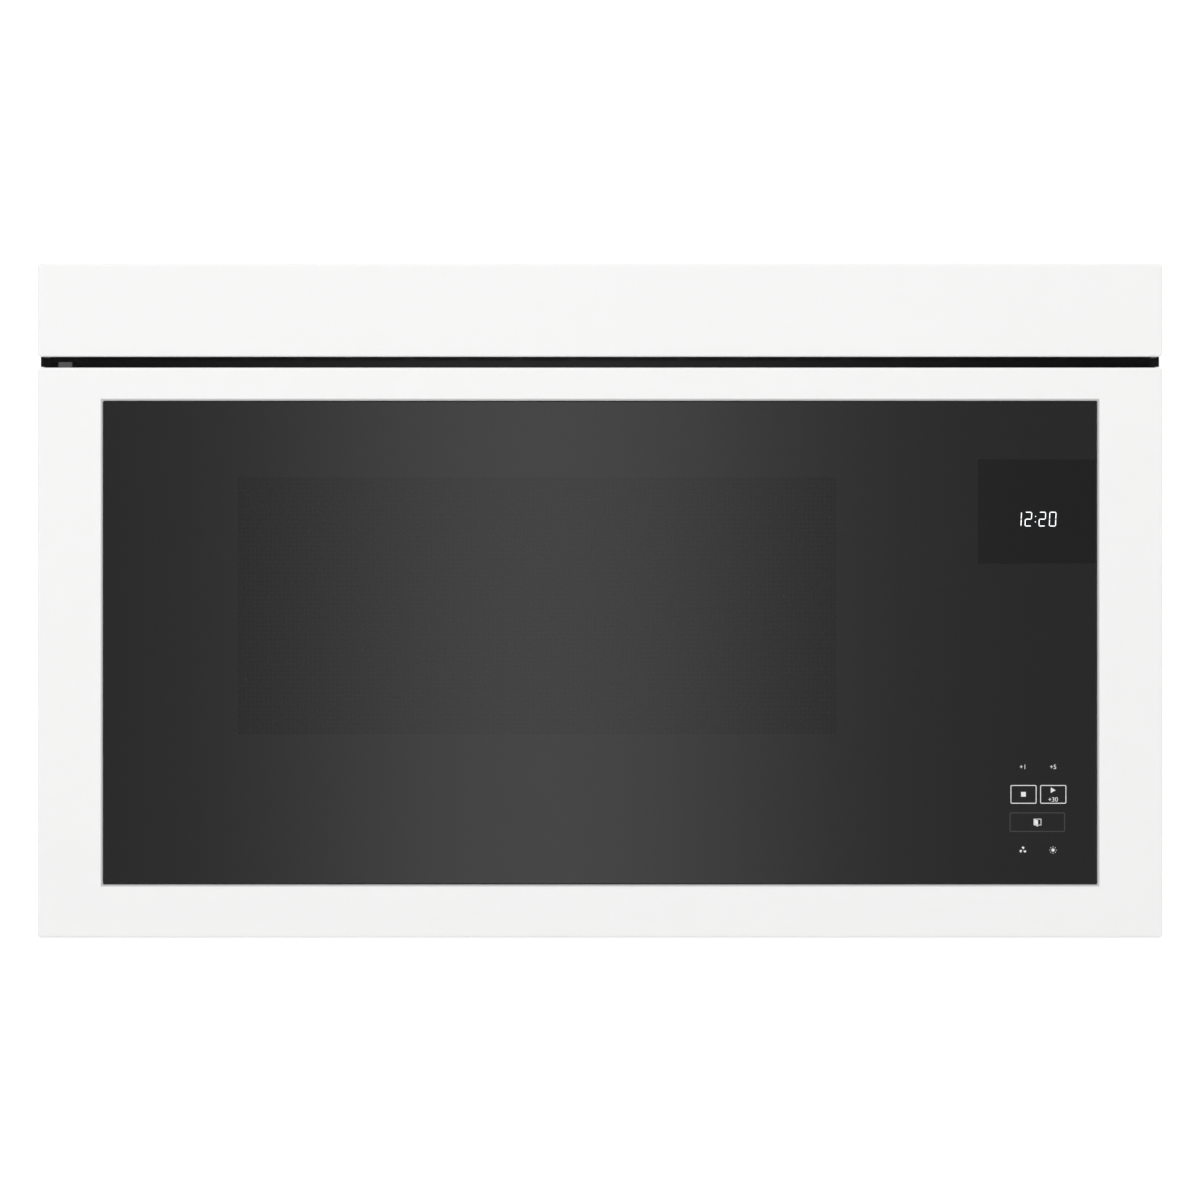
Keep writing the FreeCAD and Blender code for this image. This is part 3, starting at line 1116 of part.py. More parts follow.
def cooling_fan_blade():
    """Moulded axial fan: a cup hub with cambered, pitched blades."""
    y = (FAN_Y - 2.0, FAN_Y + 14.0)
    hub = tube(fan_centre(y[0]), ALONG_Y, 14.0, 12.0, 16.0)
    cap = rod(fan_centre(y[0]), ALONG_Y, 14.0, 2.0)
    collar = rod(fan_centre(y[0]), ALONG_Y, 5.0, 14.0)
    blades = []
    for i in range(FAN_BLADES):
        camber = [(-17.0, -3.6), (0.0, 0.0), (17.0, -3.6)]
        outline = camber + [(px, py - 1.4) for px, py in reversed(camber)]
        plate = prism([V(px, py, 12.5) for px, py in outline], V(0, 0, FAN_R - 12.0))
        plate.rotate(ORIGIN, ALONG_Z, FAN_PITCH)
        plate.rotate(ORIGIN, ALONG_Y, 360.0 * i / FAN_BLADES)
        plate.translate(fan_centre((y[0] + y[1]) / 2.0))
        blades.append(plate)
    trim = rod(fan_centre(y[0]), ALONG_Y, FAN_R, y[1] - y[0])
    body = hub.fuse([cap, collar] + blades).common(trim)
    return body.cut(rod(fan_centre(y[0] - 5), ALONG_Y, FAN_SHAFT_R, 40))


def tapered_block(y, half_x, wide, narrow):
    """Block on the magnetron's line that tapers in width and height along Y."""
    plan = [V(MAG_X - half_x[0], y[0], 0), V(MAG_X + half_x[0], y[0], 0),
            V(MAG_X + half_x[1], y[1], 0), V(MAG_X - half_x[1], y[1], 0)]
    side = [V(0, y[0], wide[0]), V(0, y[0], wide[1]), V(0, y[1], narrow[1]), V(0, y[1], narrow[0])]
    return prism(plan, V(0, 0, HEIGHT)).common(prism(side, V(XH, 0, 0)))


def air_guide():
    """Tapered duct from the fan to the magnetron's fins."""
    y = (FAN_Y, CAV_Y + 36.5)
    half_x = (FAN_R + 5.0, 42.5)
    wide = (FAN_Z - FAN_R - 4.0, FAN_Z + FAN_R + 4.0)
    narrow = (DISH_Z + 2.6, DISH_Z + 72.5)
    wall = 1.4
    inner_x = (half_x[0] - wall, half_x[1] - wall)
    return tapered_block(y, half_x, wide, narrow).cut(
        tapered_block(y, inner_x, grown(wide, -wall), grown(narrow, -wall)))


# ---- Hood ----

def scroll_outline(grow, x):
    """Blower scroll: three quarter-circle arcs whose radii step up, then a straight outlet."""
    step = SCROLL_STEP / 2.0
    radii = [WHEEL_R + SCROLL_CLEAR + i * SCROLL_STEP + grow for i in range(3)]
    centres = [(WHEEL_Y + sy * step, WHEEL_Z + sz * step) for sy, sz in ((-1, -1), (1, -1), (1, 1))]
    tongue_y = DUCT_Y[0] - grow
    start = math.degrees(math.acos((tongue_y - centres[0][0]) / radii[0]))
    arcs = [arc_edge(centres[0][0], centres[0][1], radii[0], start, 180.0)]
    arcs.append(arc_edge(centres[1][0], centres[1][1], radii[1], 180.0, 270.0))
    arcs.append(arc_edge(centres[2][0], centres[2][1], radii[2], 270.0, 360.0))
    first = arcs[0].Vertexes[0].Point
    last = arcs[2].Vertexes[1].Point
    top = HEIGHT - SHEET
    corners = [last, V(0, last.y, top), V(0, first.y, top), first]
    edges = arcs + [Part.makeLine(a, b) for a, b in zip(corners, corners[1:])]
    face = Part.Face(Part.Wire(Part.__sortEdges__(edges)))
    face.translate(V(x, 0, 0))
    return face


def wheel_x(side):
    """Limits of one blower wheel, left (-1) or right (1) of the motor."""
    near = MOTOR_HALF + WHEEL_STANDOFF
    return ordered(side * near, side * (near + WHEEL_WIDTH))


def scroll_x(side):
    return ordered(side * (MOTOR_HALF + SCROLL_GAP), side * DUCT_WIDTH / 2.0)


def blower_housing():
    """Two scrolls, each a band wrapped between two cheeks, the duct's flange and a cradle."""
    solids = []
    scrolls = []
    for side in (-1, 1):
        x = scroll_x(side)
        inlet = rod(V(x[0] - 1, WHEEL_Y, WHEEL_Z), ALONG_X, INLET_R, x[1] - x[0] + 2)
        for cheek_x in (x[0], x[1] - SHEET):
            solids.append(scroll_outline(SHEET, cheek_x).extrude(V(SHEET, 0, 0)).cut(inlet))
        scrolls.append(scroll_outline(SHEET, x[0]).extrude(V(x[1] - x[0], 0, 0)))
        between = V(x[1] - x[0] - 2 * SHEET, 0, 0)
        band = scroll_outline(SHEET, x[0] + SHEET).extrude(between)
        solids.append(band.cut(scroll_outline(0.0, x[0] + SHEET).extrude(between)))
    duct_x = (-DUCT_WIDTH / 2.0, DUCT_WIDTH / 2.0)
    flange = framed(grown(duct_x, 5.0), grown(DUCT_Y, 5.0), duct_x, grown(DUCT_Y, SHEET),
                    (HEIGHT - SHEET - 1.5, HEIGHT - SHEET))
    solids += [strip.cut(scrolls) for strip in flange]
    cradle_x = (-MOTOR_HALF - SCROLL_GAP, MOTOR_HALF + SCROLL_GAP)
    cradle_z = (WHEEL_Z + INLET_R, WHEEL_Z + INLET_R + 2.0)
    solids.append(slab(cradle_x, (WHEEL_Y - 9.0, WHEEL_Y + 9.0), cradle_z))
    return Part.makeCompound(solids)


def blower_motor():
    """Round motor between the wheels, hung on two rubber-ringed bosses and a strap."""
    can = rod(V(-MOTOR_HALF + 4.0, WHEEL_Y, WHEEL_Z), ALONG_X, INLET_R, 2 * MOTOR_HALF - 8.0)
    bosses = rod(V(-MOTOR_HALF, WHEEL_Y, WHEEL_Z), ALONG_X, 13.0, 2 * MOTOR_HALF)
    bore = rod(V(-60, WHEEL_Y, WHEEL_Z), ALONG_X, BLOWER_SHAFT_R + RUNNING, 120)
    ribs = []
    for i in range(8):
        rib = slab((-MOTOR_HALF + 8.0, MOTOR_HALF - 8.0), (-1.0, 1.0), (INLET_R - 1.0, INLET_R + 1.5))
        rib.rotate(ORIGIN, ALONG_X, 45.0 * i + 22.5)
        rib.translate(V(0, WHEEL_Y, WHEEL_Z))
        ribs.append(rib)
    return can.fuse([bosses] + ribs).cut(bore)


def blower_shaft():
    reach = MOTOR_HALF + WHEEL_STANDOFF + WHEEL_WIDTH - 4.0
    return rod(V(-reach, WHEEL_Y, WHEEL_Z), ALONG_X, BLOWER_SHAFT_R, 2 * reach)


def wheel_blade(x):
    """One forward-curved blade between the rings: two chords of its arc, with a wall."""
    root = WHEEL_R - WHEEL_RIM
    line = [(root + 0.4, 0.0), (root + 3.2, 2.2), (WHEEL_R - 1.2, 6.0)]
    back = [(y - 0.5, z + 0.9) for y, z in reversed(line)]
    points = [V(x[0], y, z) for y, z in line + back]
    return prism(points, V(x[1] - x[0], 0, 0))


def blower_wheel(side):
    """Squirrel-cage wheel: forward-curved blades between two rings, on a centre disc."""
    x = wheel_x(side)
    middle = (x[0] + x[1]) / 2.0
    ring = 3.0
    parts = [tube(V(x0, 0, 0), ALONG_X, WHEEL_R, WHEEL_R - WHEEL_RIM, ring) for x0 in (x[0], x[1] - ring)]
    parts.append(rod(V(middle - 1.0, 0, 0), ALONG_X, WHEEL_R - 6.0, 2.0))
    parts.append(rod(V(middle - 10.0, 0, 0), ALONG_X, 9.0, 20.0))
    for i in range(WHEEL_BLADES):
        blade = wheel_blade((x[0] + ring, x[1] - ring))
        blade.rotate(ORIGIN, ALONG_X, 360.0 * i / WHEEL_BLADES)
        parts.append(blade)
    body = parts[0].fuse(parts[1:])
    body = body.cut(rod(V(x[0] - 1, 0, 0), ALONG_X, BLOWER_SHAFT_R, WHEEL_WIDTH + 2))
    body.translate(V(0, WHEEL_Y, WHEEL_Z))
    return body


def grease_filter_frames():
    """Two rimmed aluminium frames that rest on the lips of the base plate."""
    frames = []
    z = (SHEET, SHEET + FILTER_THICK - 0.5)
    half = FILTER_WIDTH / 2.0
    for x in filter_centres():
        limits = (x - half, x + half)
        frame = slab(limits, filter_y(0), z)
        frame = frame.cut(slab(grown(limits, -8.0), filter_y(-8.0), grown(z, 1)))
        groove = slab(grown(limits, -FRAME_WALL), filter_y(-FRAME_WALL), (z[0] + 1.2, z[1] - 1.2))
        frames.append(frame.cut(groove))
    return Part.makeCompound(frames)


def grease_filter_meshes():
    half = FILTER_WIDTH / 2.0 - FRAME_WALL
    z = (SHEET + 1.2, SHEET + FILTER_THICK - 1.7)
    packs = [slab((x - half, x + half), filter_y(-FRAME_WALL), z) for x in filter_centres()]
    return Part.makeCompound(packs)


def hood_lamp_lenses():
    """Two clear lenses that drop into the base plate and stand on a flange."""
    lenses = []
    for x in filter_centres():
        limits = (x - LENS_WIDTH / 2.0, x + LENS_WIDTH / 2.0)
        flange = slab(grown(limits, 3.0), lens_y(3.0), (SHEET, SHEET + 1.5), ALONG_Z, 5.0)
        window = slab(grown(limits, -0.4), lens_y(-0.4), (0.2, SHEET + 1.0), ALONG_Z, 3.6)
        lenses.append(join([flange, window]))
    return Part.makeCompound(lenses)


def hood_lamp_boards():
    """Lamp boards over the lenses, each with four emitters, on four posts."""
    boards = []
    for x in filter_centres():
        y = lens_y(0.0)
        middle = (y[0] + y[1]) / 2.0
        low = SHEET + 1.5
        board = slab((x - 30.0, x + 30.0), (middle - 12.0, middle + 12.0), (low + 8.0, low + 9.6))
        parts = [board]
        for px in (x - 27.0, x + 27.0):
            for py in (middle - 9.0, middle + 9.0):
                parts.append(faceted(V(px, py, low), ALONG_Z, 2.0, 8.5))
        for px in (x - 18.0, x - 6.0, x + 6.0, x + 18.0):
            parts.append(slab((px - 2.0, px + 2.0), (middle - 2.0, middle + 2.0), (low + 7.0, low + 8.5)))
        boards.append(join(parts))
    return Part.makeCompound(boards)


def charcoal_filter():
    """Framed charcoal filter behind the fascia, at the air outlet."""
    x = (-CHARCOAL_WIDTH / 2.0, CHARCOAL_WIDTH / 2.0)
    y = (Y_INSIDE, Y_INSIDE + CHARCOAL_THICK)
    z = charcoal_z()
    frame = slab(x, y, z).cut(slab(grown(x, -5.0), grown(y, 1), grown(z, -5.0)))
    core = slab(grown(x, -5.0), grown(y, -3.0), grown(z, -5.0))
    bars = [slab((bx - 1.5, bx + 1.5), y, z) for bx in spaced(x[0] + 60.0, x[1] - 60.0, 60.0)]
    return frame.fuse([core] + bars)


# ---- Door lock ----

def upper_barb():
    return HOOK_SLOT_HIGH + 0.5


def lever_pivot():
    """Pivot of the release lever, as Y and Z."""
    return Y_PLATE + 41.5, upper_barb() - LEVER_DROP


def latch_board():
    """Moulded bracket: hook ledges in its front wall, a side wall and the pusher's guide."""
    y = (Y_INSIDE, Y_INSIDE + LATCH_WALL)
    x = (LATCH_X - 16.0, WALL_X + 2.5)
    z = (HOOK_SLOT_LOW - 30.0, PUSHER_Z + 14.0)
    front = slab(x, y, z, ALONG_Y, 3.0)
    side_y = (y[0], Y_INSIDE + 81.0)
    low_z = (z[0] + 2.0, HOOK_SLOT_LOW + 40.0)
    wall_low = slab((WALL_X, x[1]), (y[0], Y_INSIDE + 42.0), low_z, ALONG_X, 4.0)
    wall_high = slab((WALL_X, x[1]), side_y, (HOOK_SLOT_HIGH - 60.0, z[1] - 2.0), ALONG_X, 4.0)
    wall_mid = slab((WALL_X, x[1]), (y[0], y[1] + 8.0), (z[0] + 20.0, z[1] - 20.0))
    shelf_z = switch_top() - 16.0
    shelf = slab((LATCH_X - 14.0, WALL_X + 0.5), (y[0], Y_INSIDE + 30.0), (shelf_z - 3.0, shelf_z))
    py, pz = lever_pivot()
    boss = rod(V(LATCH_X + 2.0 + SEAT_GAP, py, pz), ALONG_X, 5.0, WALL_X - LATCH_X - 2.0)
    pin = rod(V(LATCH_X - 4.0, py, pz), ALONG_X, LEVER_PIN_R, 8.0)
    slots = []
    for low in (HOOK_SLOT_LOW, HOOK_SLOT_HIGH):
        slots.append(slab((LATCH_X - 3.0, LATCH_X + 6.0), (y[0] - 1, y[1]), (low, low + HOOK_SLOT_HEIGHT)))
    body = front.fuse([wall_low, wall_high, wall_mid, shelf])
    ribs = []
    for rz in spaced(HOOK_SLOT_LOW + 50.0, HOOK_SLOT_HIGH - 40.0, 30.0):
        ribs.append(slab((LATCH_X - 16.0, WALL_X), (y[1] - 0.5, y[1] + 5.0), (rz - 1.0, rz + 1.0)))
    guide = V(LATCH_X, Y_INSIDE, PUSHER_Z)
    barrel = rod(guide, ALONG_Y, 9.0, 36.0)
    bore = rod(guide - ALONG_Y, ALONG_Y, PUSHER_R + RUNNING, 34.0)
    return body.fuse([boss, pin, barrel] + ribs).cut(slots + [bore])


def switch_top():
    return HOOK_SLOT_LOW + 0.5 - 4.0 - SEAT_GAP - 3.0


def switch_places():
    front = Y_INSIDE + LATCH_WALL + 1.0
    return [front + 5.0, front + 16.0]


def interlock_switches():
    """Two micro switches side by side on the shelf under the lower hook."""
    switches = []
    top = switch_top()
    for y in switch_places():
        case = slab((LATCH_X - 14.0, WALL_X), (y - 5.0, y + 5.0), (top - 16.0, top), ALONG_Y, 1.0)
        blades = [slab((LATCH_X - 19.0, LATCH_X - 13.0), (y - 3.0, y + 3.0), (z, z + 0.8))
                  for z in (top - 13.0, top - 5.0)]
        half = BUTTON_HALF + RUNNING
        well = slab((LATCH_X - half, LATCH_X + half), (y - half, y + half), (top - 8.0, top + 1))
        switches.append(case.fuse(blades).cut(well))
    return Part.makeCompound(switches)


def interlock_buttons():
    """Plungers of the two switches; the lower hook presses them as it drops."""
    top = switch_top()
    buttons = []
    for y in switch_places():
        half = BUTTON_HALF
        buttons.append(slab((LATCH_X - half, LATCH_X + half), (y - half, y + half), (top - 4.0, top + 3.0)))
    return Part.makeCompound(buttons)


def release_lever():
    """Lever that lifts the upper hook: nose in front, round tail in the plunger's slot."""
    py, pz = lever_pivot()
    half = 2.0
    hub = rod(V(LATCH_X - half, py, pz), ALONG_X, 5.0, 2 * half)
    nose_z = LEVER_DROP - LEVER_NOSE_R - SEAT_GAP
    front = prism([V(LATCH_X - half, py + y, pz + z) for y, z in
                   ((3.0, -4.0), (3.0, 1.0), (-LEVER_REACH + 2.0, 0.0), (-LEVER_REACH + 2.0, nose_z),
                    (-LEVER_REACH - 2.0, nose_z), (-LEVER_REACH - 2.0, -2.0))], V(2 * half, 0, 0))
    nose = rod(V(LATCH_X - half, py - LEVER_REACH, pz + nose_z), ALONG_X, LEVER_NOSE_R, 2 * half)
    rear = slab((LATCH_X - half, LATCH_X + half), (py, py + LEVER_TAIL), (pz - 1.2, pz + 1.2))
    tail = rod(V(LATCH_X - half, py + LEVER_TAIL, pz), ALONG_X, 2.0, 2 * half)
    return join([hub, front, nose, rear, tail]).cut(
        rod(V(LATCH_X - 10, py, pz), ALONG_X, LEVER_PIN_R + RUNNING, 20))


def solenoid_top():
    return lever_pivot()[1] - 12.0


def release_solenoid():
    """Pull solenoid under the lever's tail, fixed to the side wall."""
    y = lever_pivot()[0] + LEVER_TAIL
    z = (solenoid_top() - 34.0, solenoid_top())
    frame = slab((LATCH_X - 12.0, WALL_X), (y - 13.0, y + 13.0), z)
    frame = frame.cut(slab((LATCH_X - 13.0, WALL_X - 2.0), (y - 14, y + 14), (z[0] + 2.0, z[1] - 2.0)))
    coil = rod(V(LATCH_X, y, z[0] + 1.0), ALONG_Z, 10.5, 32.0)
    return frame.fuse(coil).cut(rod(V(LATCH_X, y, z[0] + 6.0), ALONG_Z, PLUNGER_R + RUNNING, 60))


def solenoid_plunger():
    """Steel plunger with a cross slot that takes the lever's round tail."""
    py, pz = lever_pivot()
    y = py + LEVER_TAIL
    low = solenoid_top() - 24.0
    body = rod(V(LATCH_X, y, low), ALONG_Z, PLUNGER_R, pz + 5.5 - low)
    return body.cut(slab((LATCH_X - 6.0, LATCH_X + 6.0), (y - 8.0, y + 2.6), (pz - 2.3, pz + 2.3)))


def door_pusher():
    """Sprung plunger that starts the door open; its nose rests behind the rear cover."""
    start = COVER_BACK_Y + SEAT_GAP
    length = Y_INSIDE + 30.0 - start
    body = rod(V(LATCH_X, start, PUSHER_Z), ALONG_Y, PUSHER_R, length)
    rim = [e for e in body.Edges if e.BoundBox.YMax < start + 0.01]
    return body.makeChamfer(1.5, rim)


SINGLE_PARTS = [
    door_bezel, door_glass, door_inner_frame, door_inner_pane, door_choke_cover, door_rear_cover,
    latch_spring, hinge_bushes, door_screws, touch_board, display_module, control_carrier, latch_hooks,
    cabinet_wrap, rear_panel, base_plate, front_frame, vent_fascia, vent_louvre, bay_partition,
    cabinet_screws, cord_bushing, oven_cavity, cavity_lamp, ceramic_floor, waveguide,
    stirrer_antenna, stirrer_motor, magnetron, transformer_core,
    transformer_windings, hv_capacitor, capacitor_clamp, thermal_cutouts, power_board,
    noise_filter_board, fan_bulkhead, cooling_fan_motor, cooling_fan_shaft, cooling_fan_blade, air_guide,
    blower_housing, blower_motor, blower_shaft, grease_filter_frames, grease_filter_meshes,
    hood_lamp_lenses, hood_lamp_boards, charcoal_filter, latch_board, interlock_switches,
    interlock_buttons, release_lever, release_solenoid, solenoid_plunger, door_pusher,
]


def main():
    for build in SINGLE_PARTS:
        save(build.__name__, build())
    save("hinge_bracket_upper", hinge_bracket(True))
    save("hinge_bracket_lower", hinge_bracket(False))
    save("blower_wheel_left", blower_wheel(-1))
    save("blower_wheel_right", blower_wheel(1))


main()
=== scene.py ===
import json
import math

import bmesh
import bpy
from bpy.props import FloatProperty, FloatVectorProperty, PointerProperty
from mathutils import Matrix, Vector


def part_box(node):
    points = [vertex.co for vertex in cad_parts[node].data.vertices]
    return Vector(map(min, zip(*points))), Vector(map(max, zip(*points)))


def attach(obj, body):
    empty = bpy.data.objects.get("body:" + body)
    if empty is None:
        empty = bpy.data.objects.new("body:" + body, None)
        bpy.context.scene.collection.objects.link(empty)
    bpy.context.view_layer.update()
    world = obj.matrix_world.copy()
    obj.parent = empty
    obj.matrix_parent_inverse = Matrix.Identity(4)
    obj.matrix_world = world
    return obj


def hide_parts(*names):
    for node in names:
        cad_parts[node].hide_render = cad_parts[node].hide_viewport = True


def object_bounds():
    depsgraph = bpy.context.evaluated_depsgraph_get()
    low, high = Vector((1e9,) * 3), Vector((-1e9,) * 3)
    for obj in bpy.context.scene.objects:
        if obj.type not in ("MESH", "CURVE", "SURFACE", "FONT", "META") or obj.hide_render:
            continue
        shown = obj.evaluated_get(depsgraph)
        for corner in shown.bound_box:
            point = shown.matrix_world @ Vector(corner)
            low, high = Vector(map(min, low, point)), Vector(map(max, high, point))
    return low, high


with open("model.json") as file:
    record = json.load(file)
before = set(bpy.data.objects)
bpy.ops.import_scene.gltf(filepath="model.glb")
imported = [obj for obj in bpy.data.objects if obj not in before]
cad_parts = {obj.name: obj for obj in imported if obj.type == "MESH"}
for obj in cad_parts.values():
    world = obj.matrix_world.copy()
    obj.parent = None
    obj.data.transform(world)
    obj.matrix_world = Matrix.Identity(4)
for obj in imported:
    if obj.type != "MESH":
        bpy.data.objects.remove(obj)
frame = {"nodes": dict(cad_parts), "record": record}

bl_info = {
    "name": "Over-the-range microwave hood",
    "version": (1, 0, 0),
    "blender": (4, 5, 0),
    "location": "View3D > Sidebar > Microwave hood",
    "description": "Finishes, legends, screens, filters, fasteners and studio of a microwave hood",
    "category": "Object",
}

CAD_LOW, CAD_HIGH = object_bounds()
FRONT_Y = CAD_LOW.y
GLASS_LOW, GLASS_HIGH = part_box("door_glass")
PANE_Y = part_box("door_inner_pane")[0].y

# Places on the glass, in metres: X limits, then Z limits.
WINDOW = (-0.2454, 0.1600, 0.1367, 0.3116)
DISPLAY = (0.2548, 0.3355, 0.2522, 0.3230)
STOP_KEY = (0.2774, 0.2944, 0.0907, 0.1027)
START_KEY = (0.2974, 0.3145, 0.0907, 0.1027)
OPEN_KEY = (0.2768, 0.3136, 0.0717, 0.0842)
EDGE_SHADE_WIDTH = 0.0019        # from the glass's edge to the outside of the painted shade line
# Painted shade: a thin grey band on the enamel round the glass stands for the shade of the bezel's rounded
# edge and recess.
EDGE_SHADE = (GLASS_LOW.x - EDGE_SHADE_WIDTH, GLASS_HIGH.x + EDGE_SHADE_WIDTH,
        GLASS_LOW.z - EDGE_SHADE_WIDTH, GLASS_HIGH.z + EDGE_SHADE_WIDTH)
PRINT_THICK = 0.00003      # printed and lit shapes stand this far out of the glass
WINDOW_STEP = 0.002        # the window panel stands this far in front of the inner pane
ORIGIN = (0.0, 0.0, 0.0)


# ---- Settings a user may change ----

def length(name, text, value, low=0.0):
    return FloatProperty(name=name, description=text, default=value, min=low, unit="LENGTH", precision=5)


def factor(name, text, value, high=1.0):
    return FloatProperty(name=name, description=text, default=value, min=0.0, max=high)


def colour(name, text, value):
    return FloatVectorProperty(name=name, description=text, default=value, size=3, min=0.0, max=1.0,
                               subtype="COLOR")


def power(name, text, value):
    return FloatProperty(name=name, description=text, default=value, min=0.0, unit="POWER")


class MH_FinishSettings(bpy.types.PropertyGroup):
    enamel: colour("Enamel", "Colour of the door frame and the fascia", (0.925, 0.925, 0.920))
    glass: colour("Door glass", "Colour of the dark door glass", (0.0183, 0.0183, 0.0185))
    # The window colour is painted shade: the dark oven inside seen through the glass.
    window: colour("Window", "Colour of the glass where the oven shows through", (0.0145, 0.0145, 0.0147))
    display: colour("Display", "Colour of the glass over the clock", (0.0112, 0.0112, 0.0114))
    moulding: colour("Black moulding", "Colour of the choke cover and the lock parts", (0.012, 0.012, 0.013))
    vent: colour("Vent strip", "Colour of the strip behind the vent gap", (0.0062, 0.0062, 0.0064))
    oven: colour("Oven enamel", "Colour of the oven's inside", (0.20, 0.205, 0.21))
    # Colour of the painted shade line round the glass.
    edge_shade: colour("Painted edge shade", "Colour of the line round the glass", (0.54, 0.54, 0.545))


class MH_LegendSettings(bpy.types.PropertyGroup):
    digit_height: length("Digit height", "Height of the clock's digits", 0.0093, 0.002)
    digit_stroke: length("Digit stroke", "Width of a lit segment", 0.00056, 0.0002)
    legend_height: length("Legend height", "Height of the key numbers", 0.0030, 0.001)
    line: length("Box line", "Width of the lines round the keys", 0.00055, 0.0001)
    clock: colour("Clock", "Colour of the lit digits", (0.95, 0.97, 1.0))


class MH_ScreenSettings(bpy.types.PropertyGroup):
    pitch: length("Hole pitch", "Distance between holes in the window screen", 0.0030, 0.001)
    edge: length("Plain edge", "Width and height of the window panel without holes", 0.010)
    hole: length("Hole radius", "Radius of a hole in the window screen", 0.00095, 0.0002)
    strand_pitch: length("Mesh pitch", "Width of one diamond of the filter mesh", 0.0105, 0.003)
    strand: length("Strand", "Width of one strand of the filter mesh", 0.0008, 0.0002)


class MH_FastenerSettings(bpy.types.PropertyGroup):
    head: length("Screw head", "Radius of a case screw's head", 0.0040, 0.001)
    rise: length("Head height", "Height of a case screw's head", 0.0018, 0.0005)


class MH_StageSettings(bpy.types.PropertyGroup):
    floor_drop: length("Floor drop", "Height of the hood's underside above the floor", 0.42)
    ambient: factor("Ambient", "Light from all round", 0.55, 4.0)
    key: power("Key lamp", "Power of the large front lamp", 82.0)
    side: power("Side lamps", "Power of the right and the rear lamp", 11.0)
    glow: factor("Card", "Brightest part of the card that the glass mirrors", 0.98, 4.0)


# ---- Node helpers ----

def feed(tree, socket, value):
    """Links an output to a socket, or sets the socket's value."""
    if isinstance(value, bpy.types.NodeSocket):
        tree.links.new(value, socket)
    else:
        socket.default_value = value


def add(tree, kind, inputs=None, **settings):
    """A new node with its settings; an input takes a value or another node's output."""
    made = tree.nodes.new(kind)
    for key, value in settings.items():
        setattr(made, key, value)
    for key, value in (inputs or {}).items():
        feed(tree, made.inputs[key], value)
    return made


def new_group(name, inputs, outputs, kind="ShaderNodeTree", given="NodeSocketFloat"):
    """An empty node group, its input node and its output node.

    An input has its starting value, or its socket's type where it has no starting value."""
    tree = bpy.data.node_groups.new(name, kind)
    for title, value in inputs.items():
        if isinstance(value, str):
            tree.interface.new_socket(title, in_out="INPUT", socket_type=value)
            continue
        socket = "NodeSocketVector" if isinstance(value, tuple) else "NodeSocketFloat"
        tree.interface.new_socket(title, in_out="INPUT", socket_type=socket).default_value = value
    for title in outputs:
        tree.interface.new_socket(title, in_out="OUTPUT", socket_type=given)
    return tree, tree.nodes.new("NodeGroupInput"), tree.nodes.new("NodeGroupOutput")


def maths(tree, operation, *values, clamp=False):
    inputs = dict(enumerate(values))
    return add(tree, "ShaderNodeMath", inputs, operation=operation, use_clamp=clamp).outputs[0]


def object_place(tree):
    return add(tree, "ShaderNodeTexCoord").outputs["Object"]


def noise(tree, place, scale, detail, distortion=0.0):
    return add(tree, "ShaderNodeTexNoise", {"Vector": place, "Scale": scale, "Detail": detail,
                                            "Distortion": distortion}).outputs["Fac"]


def use(tree, group, **inputs):
    return add(tree, "ShaderNodeGroup", {k.replace("_", " "): v for k, v in inputs.items()},
               node_tree=bpy.data.node_groups[group])


def rectangle(tree, limits, edge):
    """Mask that is 1 inside a rectangle, given by its X limits and then its Z limits."""
    left, right, low, high = limits
    return use(tree, "Rectangle mask", Left=left, Right=right, Low=low, High=high, Edge=edge).outputs[0]


# ---- Shared surface effects ----

def group_grain():
    """Moulded or sprayed surface: fine dimples and a slow drift of shade."""
    tree, source, result = new_group("Surface grain", {"Grain": 900.0, "Drift": 6.0}, ("Height", "Shade"))
    place = object_place(tree)
    tree.links.new(noise(tree, place, source.outputs["Grain"], 2.0), result.inputs["Height"])
    tree.links.new(noise(tree, place, source.outputs["Drift"], 3.0), result.inputs["Shade"])


def group_streaks():
    """Rolled or brushed metal: long thin streaks along one axis."""
    tree, source, result = new_group("Rolling streaks", {"Stretch": (6.0, 900.0, 900.0)},
                                     ("Height", "Shade"))
    place = object_place(tree)
    spread = add(tree, "ShaderNodeVectorMath", {0: place, 1: source.outputs["Stretch"]},
                 operation="MULTIPLY")
    line = noise(tree, spread.outputs[0], 1.0, 3.0)
    slow = noise(tree, place, 9.0, 2.0)
    shade = maths(tree, "ADD", maths(tree, "MULTIPLY", line, 0.6), maths(tree, "MULTIPLY", slow, 0.4))
    tree.links.new(line, result.inputs["Height"])
    tree.links.new(shade, result.inputs["Shade"])


def group_marks():
    """Finger marks and light soiling: soft patches that dull a surface."""
    tree, source, result = new_group("Handling marks", {"Size": 18.0, "Amount": 0.4}, ("Dull",))
    patch = noise(tree, object_place(tree), source.outputs["Size"], 5.0, 0.6)
    lift = add(tree, "ShaderNodeMapRange", {"Value": patch, "From Min": 0.48, "From Max": 0.72},
               interpolation_type="SMOOTHSTEP")
    tree.links.new(maths(tree, "MULTIPLY", lift.outputs[0], source.outputs["Amount"]), result.inputs["Dull"])


def group_spangle():
    """Zinc crystals of galvanised sheet: angular patches of slightly different shade."""
    tree, source, result = new_group("Zinc spangle", {"Crystals": 110.0}, ("Shade", "Height"))
    cells = add(tree, "ShaderNodeTexVoronoi", {"Vector": object_place(tree),
                                               "Scale": source.outputs["Crystals"]})
    parts = add(tree, "ShaderNodeSeparateColor", {0: cells.outputs["Color"]})
    tree.links.new(parts.outputs[0], result.inputs["Shade"])
    tree.links.new(cells.outputs["Distance"], result.inputs["Height"])


